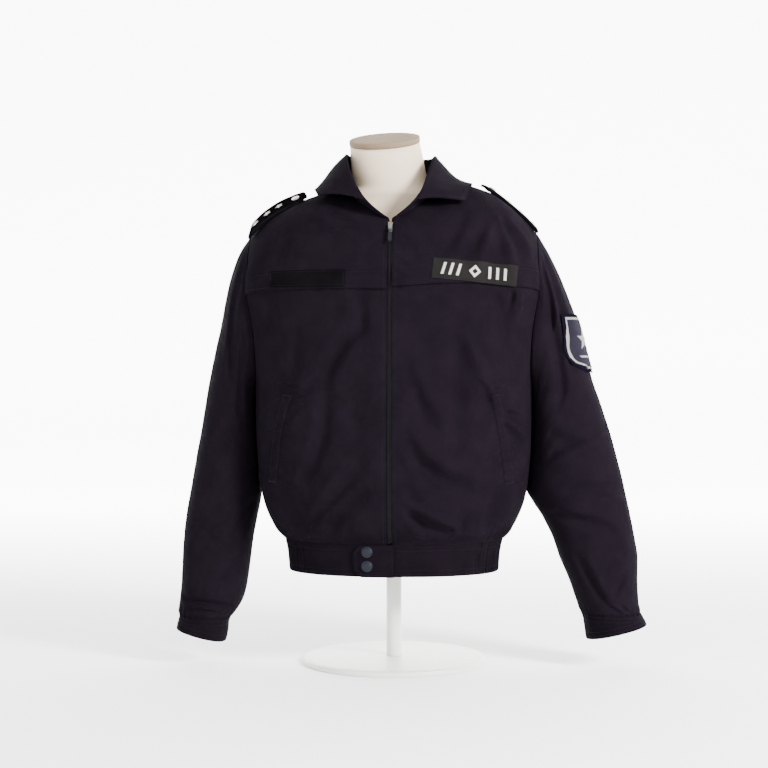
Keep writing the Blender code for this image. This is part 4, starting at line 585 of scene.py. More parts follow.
def fold_rise(folds, x, z):
    """Add up the folds at places seen from the front, each a stroke that dies out at its ends."""
    rise = np.zeros(np.broadcast(x, z).shape)
    for fold in named_rows(folds, FOLD_COLUMNS):
        run = np.array([fold["x1"] - fold["x0"], fold["z1"] - fold["z0"]])
        length = np.hypot(*run)
        run = run / length
        along = (x - fold["x0"]) * run[0] + (z - fold["z0"]) * run[1]
        part = np.clip(along / length, 0.0, 1.0)
        across = -(x - fold["x0"]) * run[1] + (z - fold["z0"]) * run[0]
        across = across - fold["bow"] * 4.0 * part * (1.0 - part)
        half_width = fold["half_width"] * FOLD_NARROW * (1.0 + fold["flare"] * part)
        beyond = (along - part * length) / half_width
        fade = 0.35 + 0.65 * np.sin(np.pi * (0.1 + 0.8 * part))
        shape = fold_profile(across, half_width, fold["rise"], fold["lean"])
        rise = rise + shape * fade * np.exp(-(beyond**2))
    return rise * FOLD_GAIN


# ---- The body surface


def depth_name(face):
    return "front_depth" if face == "front" else "back_depth"


def section_point(height, angle, depth_column):
    half_width = read_table(BODY, BODY_COLUMNS, "half_width", height)
    depth = read_table(BODY, BODY_COLUMNS, depth_column, height)
    power = 2.0 / read_table(BODY, BODY_COLUMNS, "squareness", height)
    x = half_width * np.maximum(np.sin(angle), 0.0) ** power
    y = depth * np.maximum(np.cos(angle), 0.0) ** power
    return x, y


def angle_at_x(height, x):
    half_width = read_table(BODY, BODY_COLUMNS, "half_width", height)
    power = read_table(BODY, BODY_COLUMNS, "squareness", height) / 2.0
    return np.arcsin(np.clip(x / half_width, 0.0, 1.0) ** power)


def edge_angle(height, turn):
    part = np.clip((height - UNDERARM) / (CHEST - UNDERARM), 0.0, 1.0)
    return math.pi / 2 - turn * np.sqrt(1.0 - (1.0 - part) ** 2)


def seam_height(seam, side, along):
    height = read_table(seam, SEAM_COLUMNS, "z", along)
    if side > 0:
        height = height + read_table(LEFT_RAISE, RAISE_COLUMNS, "rise", along)
    return height


def plain_body(face, side, along, level):
    """The body surface before folds, on the +X side: level 0 is the hem, 1 the chest, 2 the seams."""
    along, level = np.broadcast_arrays(np.asarray(along, float), np.asarray(level, float))
    is_front = face == "front"
    seam = FRONT_SEAM if is_front else BACK_SEAM
    turn = FRONT_ARMHOLE_TURN if is_front else BACK_ARMHOLE_TURN
    height = HEM_BOTTOM + np.clip(level, 0.0, 1.0) * (CHEST - HEM_BOTTOM)
    start = angle_at_x(height, ZIP_HALF_GAP) if is_front else 0.0
    angle = start + along * (edge_angle(height, turn) - start)
    x, y = section_point(height, angle, depth_name(face))
    y = -y if is_front else y
    rise = np.clip(level - 1.0, 0.0, 1.0)
    arch = np.radians(read_table(seam, SEAM_COLUMNS, "arch", along))
    inward = (1.0 - np.cos(rise * arch)) / (1.0 - np.cos(arch))
    upward = np.sin(rise * arch) / np.sin(arch)
    top_x = read_table(seam, SEAM_COLUMNS, "x", along)
    top_y = read_table(seam, SEAM_COLUMNS, "y", along)
    top_z = seam_height(seam, side, along)
    gap = -SEAM_GAP if is_front else SEAM_GAP
    return np.stack(
        [
            x + (top_x - x) * inward,
            y + (top_y - y) * inward + gap,
            height + (top_z - height) * upward,
        ],
        axis=-1,
    )


def welt_line(count):
    places = np.linspace(0.0, 1.0, count)
    x = read_table(WELT, WELT_COLUMNS, "x", places)
    z = read_table(WELT, WELT_COLUMNS, "z", places)
    return np.stack([x, z], axis=1)


def welt_rise(x, z, seed):
    """Puckers that run away from both long edges of a pocket welt."""
    line = welt_line(24)
    gaps = np.hypot(x[..., None] - line[:, 0], z[..., None] - line[:, 1])
    nearest = gaps.min(axis=-1)
    distance = np.maximum(nearest - WELT_WIDTH * 0.5, 0.0)
    return pucker(WELT_PUCKER, distance, z, seed)


def body_frame(face, side, along, level):
    """A point of the folded body surface with its outward direction, on the wearer's side."""
    along, level = np.broadcast_arrays(np.asarray(along, float), np.asarray(level, float))
    low_a, high_a = np.clip(along - PROBE, 0, 1), np.clip(along + PROBE, 0, 1)
    low_v, high_v = np.clip(level - PROBE, 0, 2), np.clip(level + PROBE, 0, 2)
    across = plain_body(face, side, high_a, level) - plain_body(face, side, low_a, level)
    upward = plain_body(face, side, along, high_v) - plain_body(face, side, along, low_v)
    out = unit(np.cross(across, upward))
    if face == "back":
        out = -out
    point = plain_body(face, side, along, level)
    x, z = point[..., 0], point[..., 2]
    folds = FRONT_FOLDS if face == "front" else BACK_FOLDS
    rise = fold_rise(folds, side * x, z)
    strength = ease(*FOLD_HEM_FADE, z) * (1.0 - ease(*FOLD_SHOULDER_FADE, level))
    if face == "front":
        strength = strength * ease(*FOLD_ZIP_FADE, along)
    strength = strength * (1.0 - FOLD_SIDE_LOSS * ease(*FOLD_SIDE_FADE, along))
    seed = 60 if face == "back" else 40 + 7 * side
    at_seam = (1.0 - ease(0.93, 1.0, along)) * (1.0 - ease(1.88, 1.98, level))
    lift = rise * strength + cloth_noise(side * x + 0.31, z, seed) * at_seam
    reach = np.maximum(z - HEM_TOP, 0.0)
    gathered = (ease(0.45, 0.75, along) * 0.8 + 0.2) * at_seam * ease(-0.002, 0.007, reach)
    lift = lift + pucker(HEM_PUCKER, reach, side * along * 0.25, seed + 3) * gathered * (level < 1.0)
    if face == "front":
        beside = np.maximum(x - ZIP_HALF_GAP, 0.0)
        strong = 1.0 if side > 0 else 0.35
        lift = lift + strong * pucker(ZIP_PUCKER, beside, z, seed + 4) * ease(0.0, 0.012, beside)
        lift = lift + pucker(ZIP_RIPPLE, beside, z, seed + 5)
        lift = lift + welt_rise(x, z, seed + 6) * (z < UNDERARM + 0.04)
    point = point + out * lift[..., None]
    flip = np.array([side, 1.0, 1.0])
    return point * flip, out * flip


def level_of(height):
    return (np.asarray(height, float) - HEM_BOTTOM) / (CHEST - HEM_BOTTOM)


def level_at_height(side, along, height):
    arch = np.radians(read_table(FRONT_SEAM, SEAM_COLUMNS, "arch", along))
    top = seam_height(FRONT_SEAM, side, along)
    part = (height - CHEST) / (top - CHEST)
    return 1.0 + np.arcsin(part * np.sin(arch)) / arch


def shoulder_columns():
    neck = np.linspace(0.0, NECK_END, NECK_CELLS + 1)
    shoulder = np.linspace(NECK_END, 1.0, SHOULDER_CELLS + 1)
    return np.concatenate([neck, shoulder[1:]])


def flap_level(side, along):
    rise = read_table(FLAP_EDGE, FLAP_COLUMNS, "left" if side > 0 else "right", along)
    return level_at_height(side, along, rise + (LEFT_FLAP_EDGE if side > 0 else RIGHT_FLAP_EDGE))


def yoke_levels(side, along):
    low = flap_level(side, along)
    return low + (2.0 - low) * np.array(YOKE_STEPS)


def yoke_lift(side, along, level):
    """How far the yoke stands off the body at a level: most at its free edge."""
    low = flap_level(side, along)
    share = (level - low) / (2.0 - low)
    return FLAP_LIFT * (1.0 - ease(*FLAP_FADE, share))


def find_on_body(face, side, first, second, axes, start_level):
    """Find along and level where two coordinates of the plain surface meet the targets."""
    first = np.asarray(first, float)
    along = np.full(first.shape, 0.5)
    level = np.full(first.shape, start_level)
    for _ in range(16):
        here = plain_body(face, side, along, level)
        step_a = (plain_body(face, side, along + PROBE, level) - here) / PROBE
        step_v = (plain_body(face, side, along, level + PROBE) - here) / PROBE
        miss_a, miss_b = first - here[..., axes[0]], second - here[..., axes[1]]
        cross = step_a[..., axes[0]] * step_v[..., axes[1]] - step_a[..., axes[1]] * step_v[..., axes[0]]
        cross = np.where(np.abs(cross) < 1e-9, 1e-9, cross)
        move_a = (miss_a * step_v[..., axes[1]] - miss_b * step_v[..., axes[0]]) / cross
        move_v = (miss_b * step_a[..., axes[0]] - miss_a * step_a[..., axes[1]]) / cross
        along = np.clip(along + np.clip(move_a, -0.1, 0.1), 0.0, 0.9995)
        level = np.clip(level + np.clip(move_v, -0.1, 0.1), 0.0, 1.9995)
    return along, level


# ---- Meshes from grids


def grid_normals(grid, wrap, away):
    """Unit normals of a grid, turned away from the given middle points."""
    if wrap:
        across = np.roll(grid, -1, axis=1) - np.roll(grid, 1, axis=1)
    else:
        across = np.gradient(grid, axis=1)
    out = unit(np.cross(across, np.gradient(grid, axis=0)))
    vote = np.sum(out * (grid - away))
    return out if vote >= 0.0 else -out


def grid_lengths(grid):
    """Distances along the middle row and the middle column, for the cloth's own coordinates."""
    row = grid[grid.shape[0] // 2]
    col = grid[:, grid.shape[1] // 2]
    u = np.concatenate([[0.0], np.cumsum(np.linalg.norm(np.diff(row, axis=0), axis=1))])
    v = np.concatenate([[0.0], np.cumsum(np.linalg.norm(np.diff(col, axis=0), axis=1))])
    return u, v


def quad_indices(rows, cols, wrap):
    last = cols if wrap else cols - 1
    row, col = np.meshgrid(np.arange(rows - 1), np.arange(last), indexing="ij")
    right = (col + 1) % cols
    quads = np.stack(
        [row * cols + col, row * cols + right, (row + 1) * cols + right, (row + 1) * cols + col],
        axis=-1,
    )
    return quads.reshape(-1, 4)


def rim_quads(rim, shift):
    rim = np.asarray(rim)
    return np.stack([rim[:-1], rim[:-1] + shift, rim[1:] + shift, rim[1:]], axis=-1)


def make_object(name, points, faces, material, uv=None, smooth_angle=60.0):
    mesh = bpy.data.meshes.new(name)
    mesh.from_pydata(np.asarray(points).tolist(), [], [tuple(int(i) for i in f) for f in faces])
    if uv is not None:
        layer = mesh.uv_layers.new(name="cloth")
        index = np.empty(len(mesh.loops), dtype=np.int64)
        mesh.loops.foreach_get("vertex_index", index)
        layer.data.foreach_set("uv", np.asarray(uv, dtype=np.float32)[index].reshape(-1))
    work = bmesh.new()
    work.from_mesh(mesh)
    bmesh.ops.recalc_face_normals(work, faces=work.faces)
    work.to_mesh(mesh)
    work.free()
    mesh.shade_smooth()
    mesh.set_sharp_from_angle(angle=math.radians(smooth_angle))
    made = bpy.data.objects.new(name, mesh)
    bpy.context.scene.collection.objects.link(made)
    mesh.materials.append(material)
    return made


def make_shell(name, outer, wall, material, away, wrap=False):
    """Close a fine grid into a thin shell, wall thick, with its inside towards the middle points."""
    rows, cols = outer.shape[:2]
    inner = outer - grid_normals(outer, wrap, away) * wall
    shift = rows * cols
    quads = quad_indices(rows, cols, wrap)
    first = np.arange(cols)
    last = (rows - 1) * cols + np.arange(cols)
    rims = []
    if wrap:
        rims = [rim_quads(np.append(first, first[0]), shift), rim_quads(np.append(last, last[0]), shift)]
    else:
        left = np.arange(rows) * cols
        rims = [rim_quads(line, shift) for line in (first, last, left, left + cols - 1)]
    faces = np.concatenate([quads, quads[:, ::-1] + shift] + rims)
    u, v = grid_lengths(outer)
    uv = np.stack(np.meshgrid(u, v), axis=-1).reshape(-1, 2)
    points = np.concatenate([outer.reshape(-1, 3), inner.reshape(-1, 3)])
    return make_object(name, points, faces, material, np.concatenate([uv, uv]))


def edge_distance(grid, edge):
    """Each grid point's distance from one edge, measured along the rows or columns."""
    axis = 0 if edge in ("bottom", "top") else 1
    steps = np.linalg.norm(np.diff(grid, axis=axis), axis=-1)
    zero = np.zeros((1, grid.shape[1])) if axis == 0 else np.zeros((grid.shape[0], 1))
    run = np.concatenate([zero, np.cumsum(steps, axis=axis)], axis=axis)
    if edge in ("top", "end"):
        total = run[-1:, :] if axis == 0 else run[:, -1:]
        run = total - run
    return run


def sample_grid(grid, rows, cols, wrap=False):
    """Points between a grid's own points, at fractional rows and columns."""
    count_r, count_c = grid.shape[:2]
    low_r = np.clip(np.floor(rows).astype(int), 0, count_r - 2)
    low_c = np.floor(cols).astype(int)
    if not wrap:
        low_c = np.clip(low_c, 0, count_c - 2)
    share_r = (rows - low_r)[:, None]
    share_c = (cols - low_c)[:, None]
    left, right = low_c % count_c, (low_c + 1) % count_c
    low = grid[low_r, left] * (1 - share_c) + grid[low_r, right] * share_c
    high = grid[low_r + 1, left] * (1 - share_c) + grid[low_r + 1, right] * share_c
    return low * (1 - share_r) + high * share_r


def line_from_edge(grid, edge, distance):
    """Fractional rows and columns of the line that follows one edge at a distance."""
    run = edge_distance(grid, edge)
    rows, cols = grid.shape[:2]
    if edge in ("bottom", "top"):
        order = slice(None) if edge == "bottom" else slice(None, None, -1)
        index = np.arange(rows)[order]
        found = [np.interp(distance, run[order, col], index) for col in range(cols)]
        return np.array(found), np.arange(cols, dtype=float)
    order = slice(None) if edge == "start" else slice(None, None, -1)
    index = np.arange(cols)[order]
    found = [np.interp(distance, run[row, order], index) for row in range(rows)]
    return np.arange(rows, dtype=float), np.array(found)


# ---- Sewing thread


def sew(points, normals, half_width=STITCH_HALF_WIDTH):
    """Lay a row of stitches along a line of points."""
    steps = np.linalg.norm(np.diff(points, axis=0), axis=1)
    run = np.concatenate([[0.0], np.cumsum(steps)])
    starts = np.arange(0.001, run[-1] - STITCH_LENGTH, STITCH_PITCH)
    for start in starts:
        spots = np.array([start, start + STITCH_LENGTH * 0.5, start + STITCH_LENGTH])
        line = np.stack([np.interp(spots, run, points[:, axis]) for axis in range(3)], axis=1)
        out = unit(np.array([np.interp(spots[1], run, normals[:, axis]) for axis in range(3)]))
        threads.append((line, out, half_width))


def sew_edge(grid, edge, distance, wrap=False, away=(0.0, 0.0, 0.5), start=0.0, stop=1.0):
    rows, cols = line_from_edge(grid, edge, distance)
    count = len(rows)
    keep = slice(int(start * (count - 1)), int(math.ceil(stop * (count - 1))) + 1)
    rows, cols = rows[keep], cols[keep]
    out = grid_normals(grid, wrap, np.asarray(away))
    sew(sample_grid(grid, rows, cols, wrap), sample_grid(out, rows, cols, wrap))


def make_threads(material):
    """All stitches as one mesh of small raised bars with pointed ends."""
    points = []
    faces = []
    for line, out, half_width in threads:
        run = unit(line[2] - line[0])
        side = np.cross(run, out) * half_width
        base = len(points)
        low = line - out * 0.0002
        crest = line[1] + out * STITCH_RISE
        points += [low[0], low[1] + side, low[2], low[1] - side]
        points += [crest - run * STITCH_LENGTH * 0.28, crest + run * STITCH_LENGTH * 0.28]
        for face in ((0, 1, 4), (1, 5, 4), (1, 2, 5), (2, 3, 5), (3, 4, 5), (3, 0, 4), (0, 3, 2, 1)):
            faces.append(tuple(base + i for i in face))
    return make_object("topstitching", np.array(points), faces, material, smooth_angle=80.0)


# ---- Materials


def link(tree, source, output, target, socket):
    tree.links.new(source.outputs[output], target.inputs[socket])


def plain_material(name, colour, roughness, metallic=0.0, sheen=0.0):
    material = bpy.data.materials.new(name)
    material.use_nodes = True
    shader = material.node_tree.nodes["Principled BSDF"]
    shader.inputs["Base Color"].default_value = (*colour, 1.0)
    shader.inputs["Roughness"].default_value = roughness
    shader.inputs["Metallic"].default_value = metallic
    shader.inputs["Sheen Weight"].default_value = sheen
    shader.inputs["Sheen Roughness"].default_value = 0.5
    return material, material.node_tree, shader


def colour_blend(tree, shader, dark, light, scale):
    """Base colour that drifts between two colours in patches about 1/scale metres wide."""
    place = tree.nodes.new("ShaderNodeTexCoord")
    noise = tree.nodes.new("ShaderNodeTexNoise")
    noise.inputs["Scale"].default_value = scale
    noise.inputs["Detail"].default_value = 5.0
    noise.inputs["Roughness"].default_value = 0.6
    ramp = tree.nodes.new("ShaderNodeValToRGB")
    ramp.color_ramp.elements[0].position = 0.30
    ramp.color_ramp.elements[1].position = 0.70
    ramp.color_ramp.elements[0].color = (*dark, 1.0)
    ramp.color_ramp.elements[1].color = (*light, 1.0)
    link(tree, place, "Object", noise, "Vector")
    link(tree, noise, "Fac", ramp, "Fac")
    link(tree, ramp, "Color", shader, "Base Color")
    return place, noise


def woven_bump(tree, shader, place, coordinates, ribs, strength, fuzz_scale):
    """Raised ribs crossed by finer ones, with a little fuzz over them."""
    mapping = tree.nodes.new("ShaderNodeMapping")
    mapping.inputs["Rotation"].default_value = (0.0, 0.0, math.radians(45.0))
    link(tree, place, coordinates, mapping, "Vector")
    total = None
    for axis, scale, weight in (("X", ribs, 1.0), ("Y", ribs * 1.6, 0.5)):
        wave = tree.nodes.new("ShaderNodeTexWave")
        wave.bands_direction = axis
        wave.inputs["Scale"].default_value = scale
        wave.inputs["Distortion"].default_value = 0.6
        wave.inputs["Detail"].default_value = 1.0
        link(tree, mapping, "Vector", wave, "Vector")
        scaled = tree.nodes.new("ShaderNodeMath")
        scaled.operation = "MULTIPLY_ADD"
        scaled.inputs[1].default_value = weight
        link(tree, wave, "Fac", scaled, 0)
        if total is not None:
            link(tree, total, "Value", scaled, 2)
        total = scaled
    fuzz = tree.nodes.new("ShaderNodeTexNoise")
    fuzz.inputs["Scale"].default_value = fuzz_scale
    fuzz.inputs["Detail"].default_value = 3.0
    link(tree, place, "Object", fuzz, "Vector")
    height = tree.nodes.new("ShaderNodeMath")
    height.operation = "ADD"
    link(tree, total, "Value", height, 0)
    link(tree, fuzz, "Fac", height, 1)
    bump = tree.nodes.new("ShaderNodeBump")
    bump.inputs["Strength"].default_value = strength
    bump.inputs["Distance"].default_value = 0.00025
    link(tree, height, "Value", bump, "Height")
    link(tree, bump, "Normal", shader, "Normal")


def rough_blend(tree, shader, noise, low, high):
    spread = tree.nodes.new("ShaderNodeMapRange")
    spread.inputs["From Min"].default_value = 0.3
    spread.inputs["From Max"].default_value = 0.7
    spread.inputs["To Min"].default_value = low
    spread.inputs["To Max"].default_value = high
    link(tree, noise, "Fac", spread, "Value")
    link(tree, spread, "Result", shader, "Roughness")


def woven(name, dark, light, ribs, strength, roughness, gloss, coordinates="UV", patches=26.0, fuzz=0.0):
    material, tree, shader = plain_material(name, dark, roughness, sheen=fuzz)
    shader.inputs["Specular IOR Level"].default_value = gloss
    shader.inputs["IOR"].default_value = 1.5 if gloss > 0.0 else 1.0
    place, noise = colour_blend(tree, shader, dark, light, patches)
    rough_blend(tree, shader, noise, roughness - 0.06, roughness + 0.06)
    woven_bump(tree, shader, place, coordinates, ribs, strength, 900.0)
    return material


def metal(name, dark, light, roughness, metallic, scratches, gloss=0.5):
    material, tree, shader = plain_material(name, dark, roughness, metallic)
    shader.inputs["Specular IOR Level"].default_value = gloss
    place, noise = colour_blend(tree, shader, dark, light, scratches)
    rough_blend(tree, shader, noise, roughness - 0.10, roughness + 0.10)
    bump = tree.nodes.new("ShaderNodeBump")
    bump.inputs["Strength"].default_value = 0.25
    bump.inputs["Distance"].default_value = 0.00008
    link(tree, noise, "Fac", bump, "Height")
    link(tree, bump, "Normal", shader, "Normal")
    return material


CLOTH = woven("navy twill", (0.0037, 0.0025, 0.0043), (0.0055, 0.0038, 0.0063), 393.0, 0.5, 0.88, 0.012)
BAND = woven("navy band", (0.0031, 0.0021, 0.0036), (0.0046, 0.0031, 0.0052), 300.0, 0.6, 0.88, 0.012)
TAPE = woven("black tape", (0.0020, 0.0018, 0.0022), (0.0034, 0.0031, 0.0037), 260.0, 0.6, 0.85, 0.0)
BOARD = woven("black board cloth", (0.0018, 0.0016, 0.0020), (0.0030, 0.0027, 0.0033), 210.0, 0.6, 0.9, 0.0)
THREAD = woven("navy thread", (0.010, 0.008, 0.0125), (0.018, 0.014, 0.0215), 900.0, 0.4, 0.6, 0.05, "Object")
PATCH = woven("grey badge cloth", (0.0062, 0.0056, 0.0055), (0.0094, 0.0085, 0.0083), 240.0, 0.6, 0.9, 0.02)
MOTIF = woven("light embroidery", (0.24, 0.235, 0.215), (0.33, 0.32, 0.30), 500.0, 0.5, 0.7, 0.1)
BADGE_EDGE = woven("dark blue embroidery", (0.0022, 0.0018, 0.0042), (0.004, 0.0034, 0.0075), 500.0, 0.6, 0.8, 0.0)
BADGE_CREAM = woven("cream embroidery", (0.14, 0.13, 0.122), (0.20, 0.185, 0.175), 500.0, 0.5, 0.75, 0.05)
BADGE_BLUE = woven("grey blue embroidery", (0.0078, 0.0068, 0.0115), (0.0115, 0.0102, 0.0165), 500.0, 0.5, 0.8, 0.02)
SILVER = metal("satin silver", (0.50, 0.49, 0.46), (0.64, 0.63, 0.60), 0.34, 0.9, 260.0)
SNAP = metal("dark lacquered metal", (0.0045, 0.005, 0.0085), (0.009, 0.010, 0.016), 0.5, 0.1, 300.0, 0.12)
ZIP_DARK = metal("dark zip teeth", (0.0035, 0.003, 0.004), (0.007, 0.0065, 0.008), 0.5, 0.0, 700.0, 0.08)
ZIP_PULL = metal("dark zip pull", (0.006, 0.006, 0.007), (0.012, 0.012, 0.013), 0.5, 0.0, 320.0, 0.06)
ZIP_METAL = metal("satin zip metal", (0.10, 0.10, 0.097), (0.17, 0.17, 0.165), 0.4, 0.7, 320.0)
CREAM = woven("cream jersey", (0.55, 0.44, 0.325), (0.62, 0.51, 0.395), 420.0, 0.25, 0.86, 0.1, "Object", 9.0)
CAP_CREAM = woven("beige cap cloth", (0.135, 0.098, 0.064), (0.178, 0.134, 0.092), 420.0, 0.25, 0.86, 0.1, "Object", 9.0)
WHITE_METAL = metal("white powder coat", (0.60, 0.60, 0.58), (0.66, 0.66, 0.64), 0.42, 0.0, 400.0)


# ---- Pieces


def finish_piece(made, nodes, body=GARMENT):
    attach(made, body)
    if nodes:
        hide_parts(*nodes)
    return made


def press(grid, wrap, away, lines):
    """Sink a grid along lines beside its edges: each line is an edge, a distance, a depth and a width."""
    out = grid_normals(grid, wrap, away)
    sink = np.zeros(grid.shape[:2])
    for edge, distance, depth, width in lines:
        gap = (edge_distance(grid, edge) - distance) / width
        sink = np.maximum(sink, depth * np.exp(-(gap**2)))
    return grid - out * sink[..., None]


def add_cloth(name, outer, node, cut, held, rests_on, **options):
    """A shell of cloth that stands for its node; cut is its flat width, length and area, and is not used."""
    wall = options.get("wall", SHELL)
    away = options.get("away", np.array([0.0, 0.0, 0.45]))
    wrap = options.get("wrap", False)
    material = options.get("material", CLOTH)
    made = make_shell(name, outer, wall, material, away, wrap)
    finish_piece(made, (node,))
    return made


def front_levels(side, along):
    rows = [np.full_like(along, level_of(height)) for height in LOW_LEVELS + ARM_LEVELS]
    rows.append(level_at_height(side, along, FRONT_TOP))
    return refine(np.array(rows), ROW_SPLIT)


FRONT_CUTS = {"right": (0.290, 0.425, 0.115), "left": (0.290, 0.425, 0.115)}
YOKE_CUTS = {"right": (0.270, 0.190, 0.042), "left": (0.270, 0.195, 0.043)}
EDGE_ROLL = (0.0, 0.0008, 0.0030)


def add_front(word, side):
    along = shoulder_columns()
    levels = front_levels(side, along)
    grid, _ = body_frame("front", side, np.broadcast_to(along, levels.shape), levels)
    away = np.array([0.0, 0.0, 0.40])
    lines = [("start", *EDGE_ROLL), ("end", *EDGE_ROLL), ("bottom", *EDGE_ROLL)]
    lines.append(("start", 0.0060, 0.0004, 0.0012))
    grid = press(grid, False, away, lines)
    sew_edge(grid, "start", 0.0060, away=away, stop=0.965)
    rests = ["hem_front_" + word, "yoke_" + word]
    add_cloth("front_panel_" + word, grid, "front_" + word, FRONT_CUTS[word], "hung", rests)


def add_yoke(word, side):
    along = shoulder_columns()
    steps = refine(np.array(YOKE_STEPS), YOKE_SPLIT)
    low = flap_level(side, along)
    levels = low + (2.0 - low) * steps[:, None]
    free = 1.0 - ease(*FLAP_FADE, steps[:, None])
    places = along[None, :] - FLAP_INSET * ease(0.9, 1.0, along)[None, :] * free
    places, levels, lift = np.broadcast_arrays(places, levels, FLAP_LIFT * free)
    grid, out = body_frame("front", side, places, levels)
    wave = 0.0007 * soft_noise(places * 0.28, levels * 0.1, 0.022, 90 + side)
    grid = grid + out * (lift + wave * free)[..., None]
    away = np.array([0.0, 0.02, 0.62])
    stitch = 0.030 if side > 0 else 0.027
    lines = [("bottom", *EDGE_ROLL), ("bottom", 0.0045, 0.0004, 0.0012), ("start", *EDGE_ROLL)]
    lines += [("bottom", stitch, 0.0006, 0.0016), ("end", *EDGE_ROLL), ("end", 0.006, 0.0004, 0.0014)]
    grid = press(grid, False, away, lines)
    sew_edge(grid, "bottom", 0.0045, away=away)
    sew_edge(grid, "bottom", stitch, away=away)
    sew_edge(grid, "start", 0.0060, away=away)
    sew_edge(grid, "end", 0.0060, away=away, start=0.06)
    sew_edge(grid, "top", 0.0050, away=away, start=0.42)
    rests = ["front_" + word, "back", "dress_form"]
    add_cloth("yoke_panel_" + word, grid, "yoke_" + word, YOKE_CUTS[word], "hung", rests, away=away)
    return grid


def add_back():
    grids = {}
    for side in (-1, 1):
        rows = [level_of(height) for height in LOW_LEVELS + ARM_LEVELS]
        rows += list(yoke_levels(side, 1.0)[1:])
        places, levels = np.meshgrid(shoulder_columns(), refine(np.array(rows), ROW_SPLIT))
        grids[side], _ = body_frame("back", side, places, levels)
    grid = np.concatenate([grids[-1][:, ::-1], grids[1][:, 1:]], axis=1)
    away = np.array([0.0, 0.0, 0.45])
    lines = [("start", *EDGE_ROLL), ("end", *EDGE_ROLL), ("bottom", *EDGE_ROLL)]
    grid = press(grid, False, away, lines)
    for edge in ("start", "end"):
        sew_edge(grid, edge, 0.0060, away=away, start=0.56)
    add_cloth("back_panel", grid, "back", (0.640, 0.620, 0.345), "hung", ["hem_back", "dress_form"])


def armhole_loop(side):
    """The edge of the armhole from the shoulder tip down the front and up the back."""
    rows = [level_of(height) for height in ARM_LEVELS] + list(yoke_levels(side, 1.0)[1:])
    levels = refine(np.array(rows), ARMHOLE_SPLIT)
    ones = np.ones(len(levels))
    front, _ = body_frame("front", side, ones, levels)
    back, _ = body_frame("back", side, ones, levels)
    loop = np.concatenate([front[::-1], back[1:-1]])
    tip, underarm = 0, len(levels) - 1
    loop[tip, 1] = 0.5 * (front[-1, 1] + back[-1, 1])
    loop[underarm, 1] = 0.5 * (front[0, 1] + back[0, 1])
    return loop


def sleeve_section(row, angles):
    """A sleeve section on the +X side; angle 0 is its outer edge and 90 degrees its front."""
    outer_x, outer_z, inner_x, inner_z, half_depth, y = row
    centre = np.array([(outer_x + inner_x) / 2, y, (outer_z + inner_z) / 2])
    outward = np.array([(outer_x - inner_x) / 2, 0.0, (outer_z - inner_z) / 2])
    power = 2.0 / SLEEVE_SQUARENESS
    cosine, sine = np.cos(angles), np.sin(angles)
    wide = np.sign(cosine) * np.abs(cosine) ** power
    points = centre + wide[:, None] * outward
    points[:, 1] -= np.sign(sine) * np.abs(sine) ** power * half_depth
    return points


def keep_off_body(points):
    """Move points below the underarm out of the body, so that the sleeve hangs against it."""
    moved = points.copy()
    y, height = moved[..., 1], moved[..., 2]
    half_width = read_table(BODY, BODY_COLUMNS, "half_width", height)
    squareness = read_table(BODY, BODY_COLUMNS, "squareness", height)
    front = read_table(BODY, BODY_COLUMNS, "front_depth", height)
    back = read_table(BODY, BODY_COLUMNS, "back_depth", height)
    part = np.clip(np.abs(y) / np.where(y < 0.0, front, back), 0.0, 1.0)
    limit = half_width * (1.0 - part**squareness) ** (1.0 / squareness) + BODY_CLEARANCE
    low = height < UNDERARM + 0.004
    moved[..., 0] = np.where(low, np.maximum(moved[..., 0], limit), moved[..., 0])
    return moved


def read_row(table, place):
    keyed = np.column_stack([np.arange(len(table), dtype=float), table])
    names = ("spot",) + SLEEVE_COLUMNS
    return [float(read_table(keyed, names, name, place)) for name in SLEEVE_COLUMNS]


def sleeve_relief(folds, angles, along, seed):
    """Folds, unevenness and cuff gathers at one ring of a sleeve."""
    rise = np.zeros(len(angles))
    for fold in named_rows(folds, SLEEVE_FOLD_COLUMNS):
        middle = math.radians(0.5 * (fold["angle0"] + fold["angle1"]))
        near_angles = middle + np.mod(angles - middle + math.pi, 2 * math.pi) - math.pi
        start = np.array([math.radians(fold["angle0"]) * SLEEVE_GIRTH, fold["along0"] * SLEEVE_LENGTH])
        end = np.array([math.radians(fold["angle1"]) * SLEEVE_GIRTH, fold["along1"] * SLEEVE_LENGTH])
        length = np.linalg.norm(end - start)
        run = (end - start) / length
        here = np.stack([near_angles * SLEEVE_GIRTH, np.full(len(angles), along * SLEEVE_LENGTH)], axis=1)
        place = (here - start) @ run
        part = np.clip(place / length, 0.0, 1.0)
        across = (here[:, 0] - start[0]) * -run[1] + (here[:, 1] - start[1]) * run[0]
        beyond = (place - part * length) / fold["half_width"]
        shape = fold_profile(across, fold["half_width"], fold["rise"], fold["lean"])
        rise += shape * np.exp(-(beyond**2)) * (0.5 + 0.5 * np.sin(np.pi * (0.15 + 0.7 * part)))
    at_body = np.exp(-(((angles - math.pi) / 0.55) ** 2)) * (1.0 - float(ease(0.55, 0.75, along)))
    rise = rise * SLEEVE_FOLD_GAIN * (1.0 - at_body)
    height = along * SLEEVE_LENGTH
    u, v = SLEEVE_GIRTH * np.cos(angles), SLEEVE_GIRTH * np.sin(angles)
    rise += cloth_noise(u + 0.3, v * 0.0 + height, seed) + cloth_noise(v + 0.3, u * 0.0 + height, seed + 9)
    gap = (1.0 - along) * SLEEVE_LENGTH
    turns = 25 * angles + 0.9 * np.sin(3 * angles + seed) + 0.7 * np.sin(5 * angles)
    rise += 0.0016 * np.cos(turns) * math.exp(-((gap / 0.022) ** 2)) * (0.6 + 0.4 * np.sin(2 * angles + 1))
    return rise


